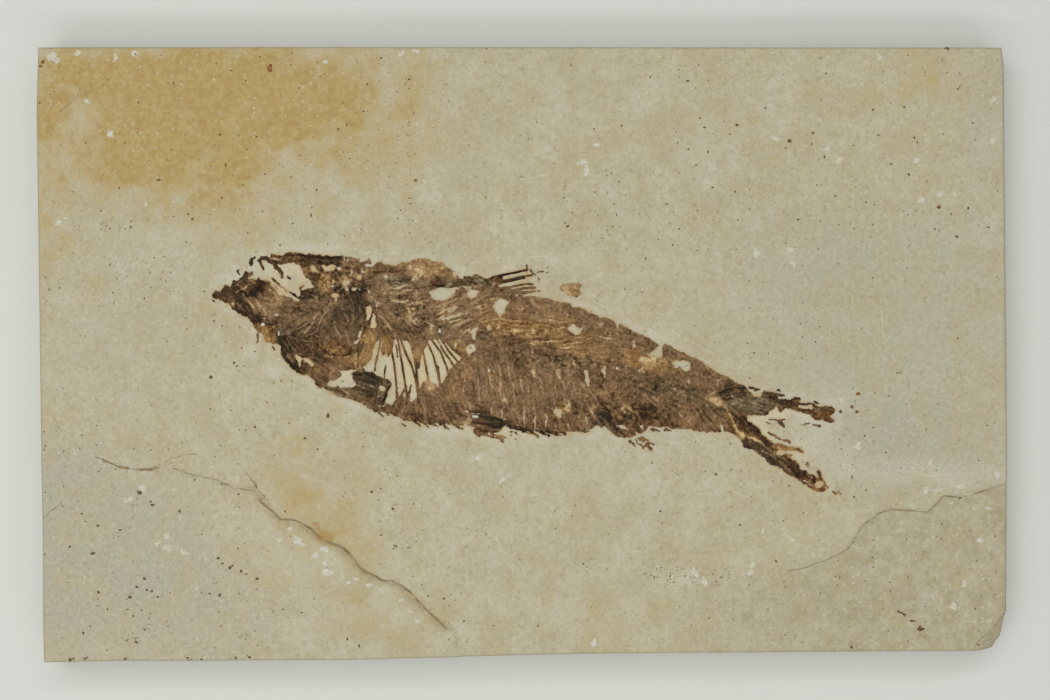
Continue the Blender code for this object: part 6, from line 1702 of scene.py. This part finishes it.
def build_splinters(stone, finish):
    """Loose brown splinters on the flaked patch."""
    sheet = Sheet(*SPLINTER_SPAN, CHALK_PITCH)
    shift_x, shift_y = shifts(sheet.x, sheet.y, [(0.6, 2.0)], 76)
    inside = sheet.sample(sheet.depth(SPLINTERS), sheet.x + shift_x, sheet.y + shift_y)
    height = stone.height(sheet.x, sheet.y) + SPLINTER_HEIGHT
    tone = 0.30 + 0.2 * sheet.noise(2.4, 78)
    rust = np.full(sheet.shape, 0.8)
    data, triangles = cut_out(sheet.x, sheet.y, inside, [height, tone, rust], 6)
    data, faces = with_root(data, triangles, CHALK_ROOT)
    attributes = {"tone": data[:, 3], "rust": data[:, 4], "white": np.full(len(data), -3.0)}
    add_piece("splinters", mesh_from("splinters", data[:, :3], faces, attributes), finish)


# The fish

def outline_segments(node):
    """A CAD plate's outline and openings seen from above, as segments in traced points."""
    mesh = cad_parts[node].data
    mesh.calc_loop_triangles()
    points = np.array([v.co for v in mesh.vertices])
    triangles = np.array([t.vertices[:] for t in mesh.loop_triangles])
    a, b, c = (points[triangles[:, i]] for i in range(3))
    normal = np.cross(b - a, c - a)
    wall = np.abs(normal[:, 2]) < WALL_TILT * np.linalg.norm(normal, axis=1)
    floor = points[:, 2].min() + SAME_HEIGHT
    edges = np.concatenate([triangles[wall][:, [i, (i + 1) % 3]] for i in range(3)])
    edges = edges[(points[edges, 2] < floor).all(axis=1)]
    x, y = traced(points[:, 0], points[:, 1])
    return np.stack([x, y], axis=1)[edges]


def grain_lie(x, y):
    """The angle of the grain and its strength, spread smoothly between its marks."""
    cosine, sine, strength, weights = (np.zeros(x.shape) for _ in range(4))
    for middle_x, middle_y, right, down, force in GRAIN:
        weight = 1.0 / (20.0 + (x - middle_x) ** 2 + (y - middle_y) ** 2) ** 2
        angle = np.arctan2(down, right)
        cosine += weight * np.cos(2 * angle)
        sine += weight * np.sin(2 * angle)
        strength += weight * force
        weights += weight
    return 0.5 * np.arctan2(sine, cosine), strength / weights


def local_colour(x, y):
    """Tone and rust between the marks of TONES."""
    weights, tone, rust = (np.full(x.shape, 1e-9) for _ in range(3))
    for middle_x, middle_y, reach, dark, red in TONES:
        away = ((x - middle_x) ** 2 + (y - middle_y) ** 2) / reach ** 2
        weight = 1.0 / (0.3 + away) ** 2.5
        weights += weight
        tone += weight * dark
        rust += weight * red
    return tone / weights, rust / weights


def texture(sheet):
    """Tone, relief and rust of the grain, the scales, the broken patches and the flecks."""
    x, y = sheet.x, sheet.y
    angle, strength = grain_lie(x, y)
    coarse = sheet.streaks(angle, 2.0, 51, 7, 1.3)
    fine = sheet.streaks(angle, 1.2, 52, 5, 0.9)
    broken = np.clip(areas(x, y, BROKEN), 0, 1)
    inner, shade = cells(x + noise(x, y, 6, 59), y + noise(x, y, 6, 60), 5.2, 4.2, 53)
    small, mosaic = cells(x + 0.6 * noise(x, y, 3, 61), y, 3.0, 2.6, 54)
    lumps = noise(x, y, 8.0, 55) + 0.6 * noise(x, y, 3.6, 56)
    light_flecks = smooth(noise(x, y, 2.3, 57) + 0.25 * noise(x, y, 9, 64), 0.52, 0.85)
    dark_flecks = smooth(noise(x, y, 2.1, 58) - 0.2 * noise(x, y, 9, 64), 0.55, 0.85)
    tone = strength * (0.15 * coarse + 0.12 * fine) + 0.06 * lumps
    tone += (1 - strength) * (0.08 * shade - 0.06 * (1 - inner) + 0.06 * fine)
    tone += broken * (0.24 * mosaic + 0.12 * lumps - 0.12 * (1 - small))
    tone += 0.20 * light_flecks - 0.16 * dark_flecks + 0.06 * noise(x, y, 1.5, 62)
    relief = STREAK_HEIGHT * strength * (coarse + 0.6 * fine) + LUMP_HEIGHT * lumps
    relief += SCALE_HEIGHT * (1 - strength) * inner + BROKEN_HEIGHT * broken * mosaic
    rust = 0.25 * lumps + 0.4 * broken * shade
    return tone, relief, rust


def wavy_places(sheet):
    """Places shifted by fine noise, less beside thin bones, which makes edges ragged."""
    x, y = sheet.x, sheet.y
    amount = 1 - 0.85 * np.clip(areas(x, y, SMOOTH_BONES), 0, 1)
    shift_x, shift_y = shifts(x, y, [(1.0, 3.4), (0.5, 1.6)], 65)
    return x + amount * shift_x, y + amount * shift_y


def vertebra_field(sheet):
    """1 on each vertebra of the column, 0 between them and off it."""
    across, along = sheet.near(segments_of(VERTEBRAL_COLUMN), VERTEBRA_REACH)
    beat = np.abs(2.0 * ((along / VERTEBRA_PITCH) % 1.0) - 1.0)
    return (1 - smooth(across, 2.6, 5.0)) * (1 - smooth(beat, 0.55, 0.95))


def fish_fields(sheet):
    """The fields that every piece of the fish shares."""
    x, y = sheet.x, sheet.y
    wavy = wavy_places(sheet)

    def warped(field):
        return sheet.sample(field, *wavy)

    def soft(field, width=0.5, ragged=0.0):
        return smooth(warped(field) + ragged * chips, -width, width)

    chips = noise(x, y, 2.4, 69) + 0.6 * noise(x, y, 1.3, 70) - 0.35
    vertebrae = vertebra_field(sheet)
    drift_x, drift_y = shifts(x, y, [(3.0, 9), (1.2, 3.6)], 47)
    tone, rust = local_colour(x + drift_x, y + drift_y)
    extra_tone, relief, extra_rust = texture(sheet)
    dark = soft(sheet.depth(DARK_LINES))
    light = soft(sheet.depth(LIGHT_LINES), 0.4)
    pale = soft(sheet.spots(PALE_SPOTS), 0.7, 1.6)
    rusty = soft(sheet.spots(RUSTY_SPOTS), 1.4, 1.2)
    tone += EVERY_TONE + extra_tone + DARK_TONE * dark + LIGHT_TONE * light
    tone += PALE_TONE * pale + VERTEBRA_TONE * vertebrae
    relief += RIDGE_HEIGHT * smooth(sheet.depth(RIDGES), -1.0, 1.0) + VERTEBRA_HEIGHT * vertebrae
    relief -= MARK_DEPTH * (dark + pale)
    rust = rust + extra_rust * (1 - np.abs(rust)) + 0.7 * rusty
    return {
        "tone": tone,
        "rust": np.clip(rust, -1, 1),
        "white": np.clip(warped(sheet.spots(WHITE_SPOTS)) - 0.25 + 0.4 * chips, -3, 3),
        "relief": relief,
        "chips": chips,
        "holes": np.maximum(warped(sheet.spots(HOLES)), warped(sheet.depth(HOLE_LINES))),
        "wavy": wavy,
        "rough": 1 - 0.8 * np.clip(areas(x, y, SMOOTH_BONES), 0, 1),
    }


def presences(sheet, outlines, fields):
    """For each plate, how far inside its film a place lies; the plates meet at their seams."""
    plain = {node: sheet.signed(segments) for node, segments in outlines.items()}
    ragged = 0.5 * sheet.noise(2.4, 63) + 0.3 * sheet.noise(1.3, 80)
    found = {}
    for node, own in plain.items():
        others = [field for name, field in plain.items() if name != node]
        other = np.max(others, axis=0)
        beside = own + 1.2 * smooth(other, -3.6, -2.0)
        film = np.minimum(beside, (own - other) / 2 + SEAM_OVERLAP)
        bits = np.minimum(sheet.depth(BITS.get(node, [])), SEAM_OVERLAP - other)
        film = np.maximum(film, bits)
        film = sheet.sample(film, *fields["wavy"]) + fields["rough"] * ragged
        found[node] = np.minimum(film, -fields["holes"])
    return found


def build_plate(node, sheet, presence, fields, finish):
    """One plate's film: a crowned, grained sheet with thin edges, rooted in the stone."""
    held = np.nonzero(presence > -2)
    part = tuple(slice(max(places.min() - 1, 0), places.max() + 2) for places in held)
    inside = presence[part]
    depth = np.maximum(inside, 0)
    height = FACE + FILM_EDGE + FILM_CROWN * (1 - np.exp(-depth / CROWN_RUN))
    height += np.maximum(fields["relief"][part], -DEEPEST_DENT) * (1 - np.exp(-depth / RELIEF_RUN))
    chipped = smooth(fields["chips"][part], -1.0, 0.4) * fields["rough"][part]
    thin = (1 - smooth(inside, 0.2, 1.7)) * chipped
    tone = fields["tone"][part] + 0.10 * thin
    rust = np.clip(fields["rust"][part] + 0.45 * thin, -1, 1)
    values = [height, tone, rust, fields["white"][part]]
    data, triangles = cut_out(sheet.x[part], sheet.y[part], inside, values)
    data, faces = with_root(data, triangles, FILM_ROOT)
    attributes = {"tone": data[:, 3], "rust": data[:, 4], "white": data[:, 5]}
    name = node + "_film"
    add_piece(name, mesh_from(name, data[:, :3], faces, attributes), finish, node)


def build_fish(outlines, finishes):
    """Every bone and scale plate of the fish."""
    sheet = Sheet(*FISH_SPAN, FISH_PITCH)
    fields = fish_fields(sheet)
    found = presences(sheet, outlines, fields)
    for node, slot in FISH_NODES.items():
        build_plate(node, sheet, found[node], fields, finishes[slot])


# Room

def build_floor():
    """A plain pale floor under the slab."""
    mesh = bpy.data.meshes.new("floor")
    corners = [(x * FLOOR_HALF, y * FLOOR_HALF, 0) for x, y in ((-1, -1), (1, -1), (1, 1), (-1, 1))]
    mesh.from_pydata(corners, [], [(0, 1, 2, 3)])
    f = Finish("floor", 0.7, 0.1)
    mesh.materials.append(f.material)
    f.put(f.shader.inputs["Base Color"], paint(*FLOOR_COLOUR))
    floor = bpy.data.objects.new("floor", mesh)
    bpy.context.scene.collection.objects.link(floor)


def add_light(name, place, size, power):
    """A soft rectangular light that looks at the slab's middle."""
    data = bpy.data.lights.new(name, "AREA")
    data.shape = "RECTANGLE"
    data.size, data.size_y = size
    data.energy = power
    light = bpy.data.objects.new(name, data)
    light.location = place
    light.rotation_euler = (-Vector(place)).to_track_quat("-Z", "Y").to_euler()
    bpy.context.scene.collection.objects.link(light)


def light_room():
    """Even studio light: long strips beyond the slab's long sides, and a dim room."""
    world = bpy.data.worlds.new("room")
    bpy.context.scene.world = world
    world.use_nodes = True
    background = world.node_tree.nodes["Background"]
    background.inputs["Color"].default_value = ROOM_COLOUR
    background.inputs["Strength"].default_value = ROOM_STRENGTH
    for light in LIGHTS:
        add_light(*light)
    bpy.context.scene.view_settings.view_transform = "Standard"


def place_camera():
    """The photograph's camera: straight above the slab."""
    data = bpy.data.cameras.new("camera")
    data.lens, data.sensor_width = LENS_MM, SENSOR_MM
    camera = bpy.data.objects.new("camera", data)
    distance = VIEW_WIDTH * POINT * LENS_MM / SENSOR_MM
    camera.location = (*metres(*VIEW_MIDDLE), FACE + distance)
    bpy.context.scene.collection.objects.link(camera)
    bpy.context.scene.camera = camera


outlines = {node: outline_segments(node) for node in FISH_NODES}
stone = Stone(np.concatenate(list(outlines.values())))
finishes = {name: fossil(name, *values) for name, values in FOSSIL_FINISHES.items()}
build_stone(stone)
build_bruises(stone)
build_specks(stone)
build_splinters(stone, finishes["fossil_bone"])
build_fish(outlines, finishes)
build_floor()
light_room()
place_camera()
